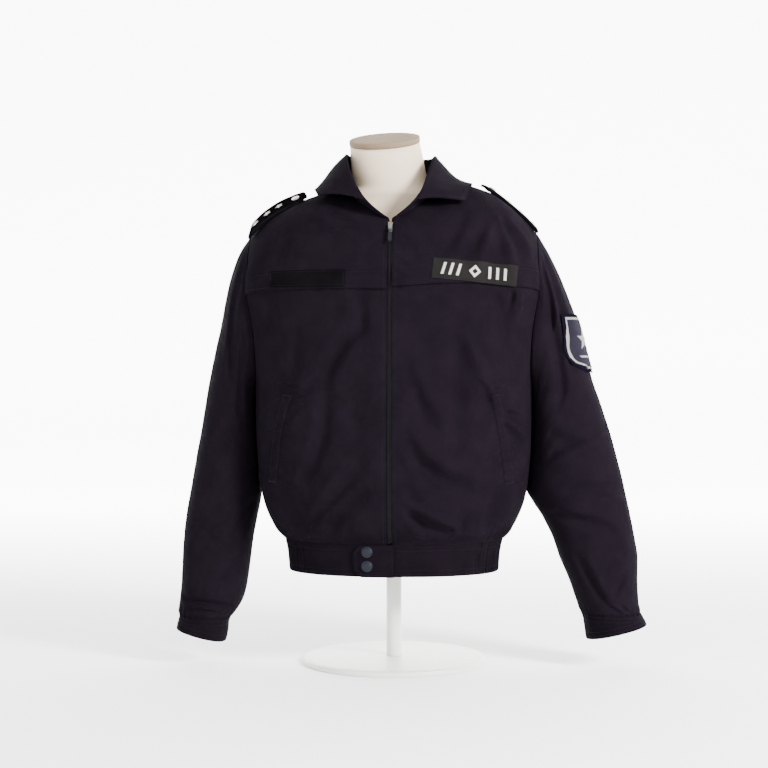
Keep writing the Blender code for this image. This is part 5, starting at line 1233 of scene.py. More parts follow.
def sleeve_grid(side, table, folds):
    """Outer grid of a sleeve on the +X side, from the armhole to the cuff seam."""
    loop = armhole_loop(side)
    loop[:, 0] = np.abs(loop[:, 0])
    high = loop[:, 2] - 0.5 * (loop[:, 2].max() + loop[:, 2].min())
    deep = (loop[:, 1] - ARMHOLE_MIDDLE_Y) * ARMHOLE_STRETCH
    seam_angles = np.unwrap(np.arctan2(-deep, high))
    even_angles = np.linspace(0.0, 2 * math.pi, len(loop), endpoint=False)
    first = read_row(table, 0.0)
    seam_shape = loop - sleeve_section(first, seam_angles)
    rows = []
    for ring in range(SLEEVE_RINGS):
        part = ring / (SLEEVE_RINGS - 1)
        mix = ease(*SPACING_FADE, part)
        angles = seam_angles * (1.0 - mix) + even_angles * mix
        section = sleeve_section(read_row(table, part * (len(table) - 1)), angles)
        section = section + seam_shape * (1.0 - ease(*SEAM_SHAPE_FADE, part))
        out = unit(section - section.mean(axis=0))
        fade = ease(*SLEEVE_FOLD_START, part)
        relief = sleeve_relief(folds, angles, part, 120 + 5 * side) * fade
        section = section + out * relief[:, None]
        if ring:
            section = keep_off_body(section)
        rows.append(section)
    grid = np.array(rows)
    grid[0, :, 0] += SEAM_GAP * 2
    tucked = grid[0] + unit(grid[0].mean(axis=0) - grid[0]) * SLEEVE_TUCK
    tucked[:, 0] -= SLEEVE_TUCK
    return np.concatenate([tucked[None], grid])


def cuff_grid(grid, end, seed):
    count = grid.shape[1]
    first = grid[-1].copy()
    angles = np.linspace(0.0, 2 * math.pi, count, endpoint=False)
    last = sleeve_section(end, angles)
    drop = unit(last.mean(axis=0) - first.mean(axis=0))
    start = first + drop * (SEAM_GAP * 2)
    parts = np.linspace(0.0, 1.0, CUFF_ROWS)[:, None, None]
    smooth = refine(np.concatenate([start, start[:1]])[:: 8], 8)[:count]
    rows = (smooth * (1.0 - parts) + last * parts)
    rows = rows + (start - smooth) * np.exp(-((parts / 0.16) ** 2))
    out = unit(rows - rows.mean(axis=1, keepdims=True))
    u = SLEEVE_GIRTH * np.cos(angles)[None, :] + 0.3
    wave = 0.0009 * soft_noise(u + np.sin(angles) * 0.02, parts[..., 0] * 0.045, 0.026, seed)
    return rows + out * wave[..., None]


SLEEVE_CUTS = {"right": (0.520, 0.600, 0.235), "left": (0.520, 0.620, 0.245)}
CUFF_CUTS = {"right": (0.260, 0.046, None), "left": (0.275, 0.046, None)}


def add_sleeve_and_cuff(word, side, table, folds, cuff_end):
    flip = np.array([side, 1.0, 1.0])
    grid = sleeve_grid(side, table, folds) * flip
    away = grid.mean(axis=1, keepdims=True)
    grid = press(grid, True, away, [("bottom", *EDGE_ROLL), ("top", *EDGE_ROLL)])
    rests = ["front_" + word, "back", "yoke_" + word]
    add_cloth(
        "sleeve_panel_" + word,
        grid,
        "sleeve_" + word,
        SLEEVE_CUTS[word],
        "hung",
        rests,
        away=away,
        wrap=True,
    )
    cuff = cuff_grid(grid * flip, cuff_end, 140 + side) * flip
    away = cuff.mean(axis=1, keepdims=True)
    distances = (("bottom", 0.0050), ("bottom", 0.0120), ("top", 0.0045), ("top", 0.0110))
    lines = [(edge, distance, 0.0005, 0.0014) for edge, distance in distances]
    cuff = press(cuff, True, away, lines + [("bottom", *EDGE_ROLL), ("top", *EDGE_ROLL)])
    for edge, distance in distances:
        sew_edge(cuff, edge, distance, wrap=True, away=away)
    add_cloth(
        "cuff_band_" + word,
        cuff,
        "cuff_" + word,
        CUFF_CUTS[word],
        "gathered",
        ["sleeve_" + word],
        wall=THICK_SHELL,
        away=away,
        wrap=True,
        material=BAND,
    )
    return grid


# ---- Collar


def neck_seam_half(side):
    """The neck seam from the zip round to the centre back, with its collar table place."""
    along = shoulder_columns()[: NECK_CELLS + 1]
    top = np.full(len(along), 2.0)
    front = body_frame("front", side, along, top)[0]
    back = body_frame("back", side, along, top)[0][::-1]
    front[-1, 1] = 0.0
    line = np.concatenate([front, back[1:]])
    steps = np.linalg.norm(np.diff(line, axis=0), axis=1)
    place = np.concatenate([[0.0], np.cumsum(steps)]) / steps.sum()
    return line, place


def collar_curve(word, place):
    names = [word + "_" + axis for axis in "xyz"]
    return np.stack([read_table(COLLAR, COLLAR_COLUMNS, name, place) for name in names], axis=1)


def collar_lines(side):
    seam, place = neck_seam_half(side)
    roll = collar_curve("roll", place)
    edge = collar_curve("edge", place)
    if side > 0:
        edge[:, 2] += read_table(COLLAR, COLLAR_COLUMNS, "left_rise", place)
        roll[:, 2] -= LEFT_ROLL_DROP * ease(0.0, 0.3, place) * (1.0 - ease(0.6, 0.9, place))
    roll[:, 0] = roll[:, 0] * side + ROLL_SHIFT * ease(0.0, 0.3, place)
    edge[:, 0] *= side
    bulge = read_table(COLLAR, COLLAR_COLUMNS, "left_bulge" if side > 0 else "right_bulge", place)
    return seam, roll, edge, bulge


def both_sides(left, right):
    return np.concatenate([right, left[::-1][1:]])


def add_collar():
    halves = zip(collar_lines(1), collar_lines(-1))
    seam, roll, edge, bulge = [both_sides(left, right) for left, right in halves]
    radial = roll - np.array([0.0, COLLAR_MIDDLE_Y, 0.0])
    radial[:, 2] = 0.0
    radial = unit(radial)
    away = np.array([0.0, COLLAR_MIDDLE_Y, 0.80])
    rows = []
    for part in np.linspace(0.0, 1.0, STAND_ROWS):
        belly = STAND_BELLY * math.sin(math.pi * part)
        rows.append((seam + [0.0, 0.0, 0.0006]) * (1 - part) + roll * part + radial * belly)
    stand = press(np.array(rows), False, away, [("bottom", *EDGE_ROLL), ("bottom", 0.004, 0.0004, 0.001)])
    sew_edge(stand, "bottom", 0.004, away=away)
    tucked = stand[0] - radial * NECK_TUCK - np.array([0.0, 0.0, NECK_TUCK * 1.8])
    stand = np.concatenate([tucked[None], stand])
    cut = (0.440, 0.045, None)
    add_cloth("collar_band", stand, "collar_stand", cut, "hung", ["yoke_right", "yoke_left"],
              wall=THICK_SHELL * 0.9, away=away)
    up = np.array([0.0, 0.0, 1.0])
    rows = []
    for turn in np.radians([190.0, 150.0, 115.0, 85.0, 60.0]):
        arc = radial * math.cos(turn) * 0.0034 + up * math.sin(turn) * 0.0030
        rows.append(roll - radial * 0.0008 + up * 0.0004 + arc)
    run = np.concatenate([[0.0], np.cumsum(np.linalg.norm(np.diff(edge, axis=0), axis=1))])
    for part in np.linspace(0.0, 1.0, LEAF_ROWS)[1:]:
        line = roll * (1 - part) + edge * part + radial * 0.0024
        swell = 1.0 - (1.0 - min(part / 0.22, 1.0)) ** 2
        line[:, 2] += bulge * math.sin(math.pi * part) + 0.0022 * swell
        line[:, 2] += part * 0.0011 * soft_noise(run, run * 0.0, 0.034, 71)
        line[:, 2] += 0.0006 * soft_noise(run, run * 0.0 + part * 0.05, 0.018, 72)
        rows.append(line)
    away = np.array([0.0, COLLAR_MIDDLE_Y, 0.70])
    leaf = np.array(rows)
    lines = [("top", *EDGE_ROLL), ("start", *EDGE_ROLL), ("end", *EDGE_ROLL)]
    lines += [(edge_name, 0.0058, 0.0005, 0.0014) for edge_name in ("top", "start", "end")]
    leaf = press(leaf, False, away, lines)
    for edge_name in ("top", "start", "end"):
        for distance in (0.0042, 0.0075):
            first = 0.12 if edge_name in ("start", "end") else 0.0
            sew_edge(leaf, edge_name, distance, away=away, start=first)
    cut = (0.560, 0.078, 0.040)
    add_cloth("collar_fall", leaf, "collar_leaf", cut, "folded", ["collar_stand", "yoke_right"],
              wall=THICK_SHELL * 0.9, away=away)


# ---- Hem band


def hem_ring(angles, heights, side, face, lift):
    """Level rows of the hem band, moved outwards by lift."""
    grid_a, grid_h = np.meshgrid(angles, heights)
    depth = depth_name(face)
    x, y = section_point(grid_h, grid_a, depth)
    x1, y1 = section_point(grid_h, np.clip(grid_a - PROBE, 0, math.pi / 2), depth)
    x2, y2 = section_point(grid_h, np.clip(grid_a + PROBE, 0, math.pi / 2), depth)
    tangent = unit(np.stack([x2 - x1, y2 - y1], axis=-1))
    out = np.stack([-tangent[..., 1], tangent[..., 0]], axis=-1)
    sign = -1.0 if face == "front" else 1.0
    px = x + out[..., 0] * lift
    py = y + out[..., 1] * lift
    return np.stack([side * px, sign * py, grid_h], axis=-1)


def arc_angles(face, start, end, count):
    """Angles between start and end that give equal steps along the hem."""
    fine = np.linspace(start, end, 400)
    x, y = section_point(np.full(len(fine), HEM_MIDDLE), fine, depth_name(face))
    run = np.concatenate([[0.0], np.cumsum(np.hypot(np.diff(x), np.diff(y)))])
    return np.interp(np.linspace(0.0, run[-1], count + 1), run, fine)


HEM_MIDDLE = 0.178
HEM_STITCHES = (("top", 0.0095), ("bottom", 0.0110))
HEM_CUT = (0.205, 0.052, None)


def finish_hem(name, grid, node, cut, held):
    away = np.array([0.0, 0.0, 0.18])
    lines = [(edge, distance, 0.0005, 0.0014) for edge, distance in HEM_STITCHES]
    grid = press(grid, False, away, lines + [("top", *EDGE_ROLL), ("bottom", 0.0, 0.0010, 0.0030)])
    for edge, distance in HEM_STITCHES:
        sew_edge(grid, edge, distance, away=away)
    inward = grid_normals(grid, False, away)[-1] * HEM_TUCK
    grid = np.concatenate([grid, (grid[-1] - inward + [0.0, 0.0, HEM_TUCK * 2])[None]])
    rests = ["front_right", "front_left", "back"]
    add_cloth(name, grid, node, cut, held, rests, wall=THICK_SHELL, away=away, material=BAND)


def add_hem_front(word, side):
    heights = np.linspace(HEM_BOTTOM, HEM_TOP - 0.0003, HEM_ROWS)
    start = float(angle_at_x(HEM_MIDDLE, ZIP_HALF_GAP))
    angles = arc_angles("front", start, ELASTIC_START, HEM_CELLS)
    wave = 0.0006 * soft_noise(angles[None, :] * 0.14, heights[:, None], 0.016, 31 + side)
    turns = (angles[None, :] - ELASTIC_START) / END_GATHER_PITCH
    turns = turns + 0.2 * soft_noise(angles[None, :] * 0.3, heights[:, None], 0.03, 37 + side)
    drawn = ease(END_GATHER_START, ELASTIC_START - 0.03, angles)[None, :]
    wave = wave + GATHER_DEPTH * 0.42 * (2.0 * np.abs(np.cos(math.pi * turns)) ** 0.85 - 1.5) * drawn
    grid = hem_ring(angles, heights, side, "front", wave)
    finish_hem("hem_band_front_" + word, grid, "hem_front_" + word, (0.150, 0.052, None), "hung")


def add_hem_back():
    heights = np.linspace(HEM_BOTTOM, HEM_TOP - 0.0003, HEM_ROWS)
    angles = arc_angles("back", 0.0, ELASTIC_START, HEM_CELLS)
    wave = 0.0006 * soft_noise(angles[None, :] * 0.14, heights[:, None], 0.016, 35)
    left = hem_ring(angles, heights, 1, "back", wave)
    right = hem_ring(angles, heights, -1, "back", wave)
    grid = np.concatenate([right[:, ::-1], left[:, 1:]], axis=1)
    finish_hem("hem_band_back", grid, "hem_back", (0.300, 0.052, None), "hung")


def add_hem_elastic(word, side):
    """The elastic stretch at the side, drawn in to narrow ridges with sharp valleys between."""
    heights = np.linspace(HEM_BOTTOM, HEM_TOP - 0.0003, HEM_ROWS)
    count = GATHERS * POINTS_PER_GATHER
    half = math.pi / 2
    front_angles = arc_angles("front", ELASTIC_START + ELASTIC_GAP, half, count // 2)
    back_angles = arc_angles("back", ELASTIC_START + ELASTIC_GAP, half, count // 2)
    step = np.arange(count + 1)
    drift = 0.22 * soft_noise(step[None, :] * 0.01, heights[:, None] * 1.5, 0.05, 81 + side)
    phase = step[None, :] / POINTS_PER_GATHER + drift
    ridge = 2.0 * np.abs(np.cos(math.pi * phase)) ** 0.85 - 1.0
    ends = np.minimum(1.0, np.minimum(step, count - step) / POINTS_PER_GATHER)
    depth = GATHER_DEPTH * (0.8 + 0.3 * soft_noise(step[None, :] * 0.01, heights[:, None], 0.03, 85))
    lift = depth * 0.5 * (ridge - 0.4) * ends
    split = len(front_angles)
    front = hem_ring(front_angles, heights, side, "front", lift[:, :split])
    back = hem_ring(back_angles[::-1], heights, side, "back", lift[:, split - 1 :])
    grid = np.concatenate([front, back[:, 1:]], axis=1)
    finish_hem("hem_band_side_" + word, grid, "hem_elastic_" + word, (0.200, 0.052, None), "gathered")


def hem_spot(angle, height, x, lift):
    side = -1 if x < 0 else 1
    return hem_ring(np.array([angle]), np.array([height]), side, "front", lift)[0, 0]


def add_hem_tab():
    """The tab crosses the opening from the wearer's left and closes on the right with snaps."""
    reach = np.linspace(-TAB_REACH, TAB_OVERLAP, 43)
    cut = np.maximum(0.0, TAB_CORNER - (reach + TAB_REACH))
    low = HEM_BOTTOM - 0.0005 + cut
    high = HEM_TOP - 0.0005 - cut
    angles = angle_at_x(HEM_MIDDLE, np.abs(reach))
    rows = []
    for part in np.linspace(0.0, 1.0, 19):
        heights = low + (high - low) * part
        lift = TAB_LIFT + TAB_WALL + 0.0005 * math.sin(math.pi * part)
        rows.append([hem_spot(*spot, lift) for spot in zip(angles, heights, reach)])
    away = np.array([0.0, 0.0, 0.18])
    grid = np.array(rows)
    edges = ("top", "bottom", "start")
    lines = [(edge, 0.0, 0.0009, 0.0022) for edge in edges + ("end",)]
    lines += [(edge, 0.0058, 0.0004, 0.0012) for edge in edges]
    grid = press(grid, False, away, lines)
    for edge in edges:
        for distance in (0.0040, 0.0072):
            sew_edge(grid, edge, distance, away=away, start=0.05, stop=0.97)
    rests = ["hem_front_right", "hem_front_left"]
    add_cloth("hem_closure", grid, "hem_tab", (0.062, 0.051, None), "laid", rests,
              wall=THICK_SHELL, away=away, material=BAND)


def turned(base, direction, profile, sides):
    """Points and faces of a round piece: profile holds radius and distance along the direction."""
    direction = unit(np.asarray(direction, float))
    helper = np.array([0.0, 0.0, 1.0]) if abs(direction[2]) < 0.9 else np.array([1.0, 0.0, 0.0])
    first = unit(np.cross(direction, helper))
    second = np.cross(direction, first)
    turns = np.linspace(0.0, 2 * math.pi, sides, endpoint=False)
    spokes = first * np.cos(turns)[:, None] + second * np.sin(turns)[:, None]
    rings = [np.asarray(base) + direction * distance + spokes * radius for radius, distance in profile]
    points = np.concatenate(rings)
    faces = [tuple(quad) for quad in quad_indices(len(profile), sides, True)]
    faces.append(tuple(range(sides)))
    faces.append(tuple(range((len(profile) - 1) * sides, len(profile) * sides)))
    return points, faces


SNAP_PROFILE = (
    (0.0088, 0.0000),
    (0.0090, 0.0005),
    (0.0086, 0.0010),
    (0.0077, 0.0012),
    (0.0076, 0.0007),
    (0.0074, 0.0020),
    (0.0069, 0.0028),
    (0.0058, 0.0033),
    (0.0040, 0.0036),
    (0.0020, 0.0037),
    (0.0004, 0.0037),
)


def add_snaps():
    for word, height in zip(("upper", "lower"), SNAP_HEIGHTS):
        angle = float(angle_at_x(height, abs(SNAP_X)))
        base = hem_spot(angle, height, SNAP_X, TAB_LIFT + TAB_WALL + 0.0004)
        beyond = hem_spot(angle, height, SNAP_X, TAB_LIFT + TAB_WALL + 0.0040)
        points, faces = turned(base, beyond - base, SNAP_PROFILE, 48)
        made = make_object("snap_cap_" + word, points, faces, SNAP, smooth_angle=40.0)
        finish_piece(made, ("snap_" + word,))


# ---- Zip


def centre_line(height, offset):
    """A point in front of the zip's middle, with its outward and upward directions."""
    level = level_of(height) if height <= CHEST else level_at_height(-1, 0.0, height)
    here = plain_body("front", -1, 0.0, level)
    below = plain_body("front", -1, 0.0, level - 0.002)
    above = plain_body("front", -1, 0.0, np.minimum(level + 0.002, 2.0))
    run = unit(above - below)
    out = np.array([0.0, -run[2], run[1]])
    point = here + out * offset
    point[0] = 0.0
    return point, out, run


def add_blocks(name, blocks, material, smooth_angle=30.0):
    """Many small blocks as one mesh; a block is its centre, three half-size arrows and a taper."""
    points = []
    faces = []
    sides = ((0, 1, 3, 2), (4, 6, 7, 5), (0, 4, 5, 1), (2, 3, 7, 6), (0, 2, 6, 4), (1, 5, 7, 3))
    for centre, wide, deep, tall, taper in blocks:
        base = len(points)
        for w in (-1.0, 1.0):
            share = taper if w > 0 else 1.0
            for d in (-1.0, 1.0):
                for h in (-1.0, 1.0):
                    points.append(centre + wide * w + deep * d * share + tall * h * share)
        faces += [tuple(base + i for i in side) for side in sides]
    return make_object(name, np.array(points), faces, material, smooth_angle=smooth_angle)


def add_zip_chain():
    heights = np.arange(ZIP_BOTTOM + 0.002, TEETH_TOP, TOOTH_PITCH * 0.5)
    blocks = []
    for number, height in enumerate(heights):
        side = 1.0 if number % 2 else -1.0
        point, out, run = centre_line(height, -0.0004)
        across = np.array([side, 0.0, 0.0])
        centre = point + across * 0.0007
        blocks.append((centre, -across * 0.0013, out * 0.0010, run * 0.00052, 0.72))
        cord = point + across * 0.0027 - out * 0.0009
        blocks.append((cord, across * 0.0006, out * 0.0007, run * 0.00085, 0.8))
    made = add_blocks("zip_chain", blocks, ZIP_DARK)
    finish_piece(made, ("zip_teeth",))


def add_zip_tape():
    heights = np.linspace(ZIP_BOTTOM - 0.008, ZIP_TOP, 132)
    halves = []
    for side in (-1, 1):
        x, z = np.meshgrid(np.linspace(0.0042, TAPE_HALF_WIDTH, 5), heights)
        along, level = find_on_body("front", side, x, z, (0, 2), 0.9)
        grid = plain_body("front", side, along, level) * np.array([side, 1.0, 1.0])
        grid[..., 1] -= TAPE_DEPTH
        halves.append(grid)
    grid = np.concatenate([halves[0][:, ::-1], halves[1]], axis=1)
    made = make_shell("zip_ribbon", grid, 0.0008, TAPE, np.array([0.0, 0.0, 0.45]))
    finish_piece(made, ("zip_tape",))


def plate(outline, hole, low, high, bevel, base, side, run, out):
    """Points and faces of a flat plate with rounded rims, given by an outline and maybe a hole."""
    outline = np.asarray(outline, float)
    middle = outline.mean(axis=0)
    inside = np.asarray(hole, float) if hole is not None else None
    shrink = outline + (middle - outline) * (bevel / np.linalg.norm(outline - middle, axis=1).max())
    rings = [(outline, low + bevel), (outline, high - bevel), (shrink, high)]
    if inside is not None:
        rings += [(inside, high), (inside, low)]
    rings.append((shrink, low))
    points = []
    for ring, depth in rings:
        points += [base + side * u + run * v + out * depth for u, v in ring]
    count = len(outline)
    faces = [tuple(quad) for quad in quad_indices(len(rings), count, True)]
    last = (len(rings) - 1) * count
    for i in range(count):
        j = (i + 1) % count
        faces.append((i, last + i, last + j, j))
    if inside is None:
        faces = [face for face in faces if not (max(face) >= last and 2 * count <= min(face) < last)]
        faces.append(tuple(range(2 * count, 3 * count)))
        faces.append(tuple(range(last, last + count)))
    return np.array(points), faces


def rounded_outline(widths, count):
    """A closed outline, symmetric about the middle, through half widths at heights."""
    heights = np.array([height for height, _ in widths])
    halves = np.array([half for _, half in widths])
    v = np.linspace(heights[0], heights[-1], count)
    u = np.interp(v, heights, halves)
    right = np.stack([u, v], axis=1)
    left = np.stack([-u, v], axis=1)[::-1]
    return np.concatenate([right, left])


def add_slider_and_pull():
    low = TAPE_DEPTH + 0.0005
    point, out, run = centre_line(SLIDER_HEIGHT, 0.0)
    side = np.array([1.0, 0.0, 0.0])
    shape = ((-0.0070, 0.0022), (-0.0062, 0.0029), (0.0, 0.0032), (0.0050, 0.0034), (0.0070, 0.0024))
    points = np.zeros((0, 3))
    faces = []
    for near, far in ((low, low + 0.0016), (low + 0.0046, low + 0.0064)):
        more, new = plate(rounded_outline(shape, 9), None, near, far, 0.0005, point, side, run, out)
        faces += [tuple(len(points) + i for i in face) for face in new]
        points = np.concatenate([points, more])
    post = ((0.0014, low + 0.0014), (0.0014, low + 0.0050))
    more, new = turned(point + run * 0.0045, out, post, 12)
    faces += [tuple(len(points) + i for i in face) for face in new]
    points = np.concatenate([points, more])
    hinge, out, run = centre_line(SLIDER_HEIGHT - 0.0035, -0.0023 + 0.0070 + 0.0005 + 0.0008)
    turns = np.linspace(math.radians(200.0), math.radians(-20.0), 13)
    rows = []
    for radius, half in ((0.0011, 0.0009), (0.0011, -0.0009), (0.0019, -0.0009), (0.0019, 0.0009)):
        arc = [
            hinge + side * half + run * (math.cos(turn) * radius) + out * (math.sin(turn) * radius)
            for turn in turns
        ]
        rows.append(arc)
    arch = np.array(rows).transpose(1, 0, 2)
    new = [tuple(quad) for quad in quad_indices(len(turns), 4, True)]
    new += [(0, 1, 2, 3), tuple(range(4 * len(turns) - 4, 4 * len(turns)))]
    faces += [tuple(len(points) + i for i in face) for face in new]
    points = np.concatenate([points, arch.reshape(-1, 3)])
    made = make_object("zip_runner", points, faces, ZIP_METAL, smooth_angle=35.0)
    finish_piece(made, ("zip_slider",))
    shape = (
        (-0.0240, 0.0016),
        (-0.0232, 0.0025),
        (-0.0200, 0.0030),
        (-0.0090, 0.0028),
        (-0.0050, 0.0023),
        (0.0004, 0.0024),
        (0.0008, 0.0018),
    )
    eye = ((-0.0066, 0.0008), (-0.0058, 0.0014), (-0.0010, 0.0014), (-0.0006, 0.0012))
    points, faces = plate(
        rounded_outline(shape, 16), rounded_outline(eye, 16), -0.0007, 0.0007, 0.0003, hinge, side, run, out
    )
    made = make_object("zip_tab", points, faces, ZIP_PULL, smooth_angle=35.0)
    finish_piece(made, ("zip_pull",), body=PULL)


# ---- Pockets and badges


def on_yoke(side, x, z, offset):
    """Points over a yoke or front at places seen from the front, raised along its outward direction."""
    along, level = find_on_body("front", side, np.abs(x), z, (0, 2), 0.8)
    point, out = body_frame("front", side, along, level)
    lift = yoke_lift(side, along, level) if offset.get("on_yoke") else 0.0
    height = lift + offset["high"]
    return point + out * np.asarray(height)[..., None] if np.ndim(height) else point + out * height


def place_grid(place, cols, rows):
    tilt = math.radians(place["tilt"])
    width, height = place["size"]
    across, up = np.meshgrid(
        np.linspace(-0.5, 0.5, cols + 1) * width, np.linspace(-0.5, 0.5, rows + 1) * height
    )
    x = place["centre"][0] + across * math.cos(tilt) - up * math.sin(tilt)
    z = place["centre"][1] + across * math.sin(tilt) + up * math.cos(tilt)
    return x, z


def add_chest_piece(name, place, node, material, slot, cut):
    side = 1 if place["centre"][0] > 0 else -1
    x, z = place_grid(place, 72, 20)
    grid = on_yoke(side, x, z, {"on_yoke": True, "high": 0.0021})
    away = np.array([0.0, 0.0, 0.60])
    edges = ("start", "end", "top", "bottom")
    lines = [(edge, 0.0, 0.0010, 0.0016) for edge in edges]
    lines += [(edge, 0.0026, 0.0003, 0.0009) for edge in edges]
    grid = press(grid, False, away, lines)
    for edge in edges:
        sew_edge(grid, edge, 0.0026, away=away, start=0.03, stop=0.97)
    rests = ["yoke_left" if side > 0 else "yoke_right"]
    add_cloth(name, grid, node, cut, "laid", rests, wall=0.0012, away=away, material=material, slot=slot)
    return grid, away


def add_tiles(name, grid, away, quads, rise, material):
    """Raised embroidery: quads in shares of a grid's width and height, laid on its surface."""
    out = grid_normals(grid, False, away)
    rows, cols = grid.shape[0] - 1, grid.shape[1] - 1
    points = []
    faces = []
    for corners in quads:
        corners = np.array(corners, float)
        s, t = np.meshgrid(np.linspace(0, 1, 9), np.linspace(0, 1, 9))
        low = corners[0] * (1 - s)[..., None] + corners[1] * s[..., None]
        high = corners[3] * (1 - s)[..., None] + corners[2] * s[..., None]
        spot = (low * (1 - t)[..., None] + high * t[..., None]).reshape(-1, 2)
        top = sample_grid(grid, spot[:, 1] * rows, spot[:, 0] * cols)
        normal = sample_grid(out, spot[:, 1] * rows, spot[:, 0] * cols)
        round_off = np.minimum(np.minimum(s, 1 - s), np.minimum(t, 1 - t)).reshape(-1)
        height = rise * (0.55 + 0.45 * ease(0.0, 0.25, round_off))
        base = len(points)
        points += list(top + normal * height[:, None])
        points += list(top - normal * 0.0003)
        quads_here = quad_indices(9, 9, False)
        faces += [tuple(base + i for i in quad) for quad in quads_here]
        faces += [tuple(base + 81 + i for i in quad[::-1]) for quad in quads_here]
        ring = list(range(0, 9)) + list(range(17, 81, 9)) + list(range(79, 71, -1)) + list(range(63, 0, -9))
        for here, there in zip(ring, ring[1:] + ring[:1]):
            faces.append((base + here, base + there, base + 81 + there, base + 81 + here))
    made = make_object(name, np.array(points), faces, material, smooth_angle=50.0)
    finish_piece(made, ())


def slanted(u, half, low, high, lean):
    return ((u - half, low), (u + half, low), (u + half + lean, high), (u - half + lean, high))


def add_chest_patch():
    grid, away = add_chest_piece(
        "chest_badge", CHEST_PATCH, "chest_patch", PATCH, "patch_cloth", (0.134, 0.034, None)
    )
    motif = []
    for u in (0.13, 0.22, 0.31, 0.69, 0.78, 0.87):
        motif.append(slanted(u - 0.012, 0.016, 0.22, 0.78, 0.030 if u < 0.5 else -0.006))
    motif += [
        ((0.43, 0.50), (0.50, 0.20), (0.50, 0.36), (0.465, 0.50)),
        ((0.50, 0.20), (0.57, 0.50), (0.535, 0.50), (0.50, 0.36)),
        ((0.57, 0.50), (0.50, 0.80), (0.50, 0.64), (0.535, 0.50)),
        ((0.50, 0.80), (0.43, 0.50), (0.465, 0.50), (0.50, 0.64)),
    ]
    add_tiles("chest_badge_motif", grid, away, motif, 0.0006, MOTIF)


def add_welt(word, side):
    line = welt_line(61)
    run = unit(np.gradient(line, axis=0))
    across = np.stack([-run[:, 1], run[:, 0]], axis=1)
    steps = np.linspace(-0.5, 0.5, 11)
    spots = line[None] + across[None] * (steps * WELT_WIDTH)[:, None, None]
    grid = on_yoke(side, spots[..., 0], spots[..., 1], {"high": 0.0019})
    away = np.array([0.0, 0.0, 0.40])
    edges = ("start", "end", "top", "bottom")
    lines = [(edge, 0.0, 0.0012, 0.0020) for edge in edges]
    lines += [(edge, 0.0028, 0.0004, 0.0010) for edge in edges]
    grid = press(grid, False, away, lines)
    for edge in edges:
        sew_edge(grid, edge, 0.0028, away=away)
    for tack in (0.012, 0.022):
        for edge in ("start", "end"):
            sew_edge(grid, edge, tack * 0.2, away=away)
    rests = ["front_" + word]
    add_cloth("welt_band_" + word, grid, "pocket_welt_" + word, (0.152, 0.0175, None), "laid", rests,
              wall=0.0012, away=away)


def spot_at_height(grid, angle, height):
    """The point of a tube's grid at an angle round it and a height above the floor."""
    count = grid.shape[1]
    place = (angle / (2 * math.pi)) % 1.0 * count
    first = int(place) % count
    share = place - int(place)
    line = grid[:, first] * (1.0 - share) + grid[:, (first + 1) % count] * share
    rising = line[::-1]
    return np.array([np.interp(height, rising[:, 2], rising[:, axis]) for axis in range(3)])


def badge_grid(sleeve, inset, rise, rows, cols):
    """A shield shape on the sleeve, inset all round from the badge's outline."""
    top, bottom = BADGE_TOP - inset, BADGE_BOTTOM + inset
    tip = math.radians(BADGE_TIP_ANGLE)
    narrower = inset / 0.062
    grid = []
    for part in np.linspace(0.0, 1.0, rows):
        height = top + (bottom - top) * part
        beyond = max(0.0, part - BADGE_ROUND_START) / (1.004 - BADGE_ROUND_START)
        low, high = np.radians(BADGE_TOP_ANGLES) * (1 - part) + np.radians(BADGE_LOW_ANGLES) * part
        narrow = math.sqrt(1.0 - beyond**2)
        low = tip + (low + narrower - tip) * narrow
        high = tip + (high - narrower - tip) * narrow
        grid.append([spot_at_height(sleeve, angle, height) for angle in np.linspace(low, high, cols)])
    grid = np.array(grid)
    for _ in range(12):
        grid[1:-1] = 0.5 * grid[1:-1] + 0.25 * (grid[:-2] + grid[2:])
        grid[:, 1:-1] = 0.5 * grid[:, 1:-1] + 0.25 * (grid[:, :-2] + grid[:, 2:])
    out = grid_normals(grid, False, np.array([0.25, 0.0, 0.5]))
    return grid + out * rise


def add_sleeve_badge(sleeve):
    away = np.array([0.25, 0.0, 0.5])
    layers = (
        ("sleeve_badge_edge", 0.0, 0.0036, BADGE_EDGE, ("sleeve_badge",)),
        ("sleeve_badge_border", 0.0050, 0.0041, BADGE_CREAM, ()),
        ("sleeve_badge_field", 0.0090, 0.0046, BADGE_BLUE, ()),
    )
    for name, inset, rise, material, nodes in layers:
        grid = badge_grid(sleeve, inset, rise, 44, 34)
        edges = ("start", "end", "top")
        grid = press(grid, False, away, [(edge, 0.0, 0.0005, 0.0012) for edge in edges])
        made = make_shell(name, grid, 0.0012, material, away)
        finish_piece(made, nodes)
    quads = []
    for number in range(5):
        turn = 2 * math.pi * number / 5
        arm = [(0.0, 0.0)]
        for bend, reach in ((-math.pi / 5, 0.36), (0.0, 0.9), (math.pi / 5, 0.36)):
            arm.append((math.sin(turn + bend) * reach, -math.cos(turn + bend) * reach))
        quads.append([(0.46 + u * 0.34, 0.42 + v * 0.27) for u, v in arm])
    quads.append([(0.22, 0.76), (0.78, 0.76), (0.74, 0.80), (0.26, 0.80)])
    add_tiles("sleeve_badge_star", grid, away, quads, 0.0007, BADGE_CREAM)


# ---- Shoulder boards


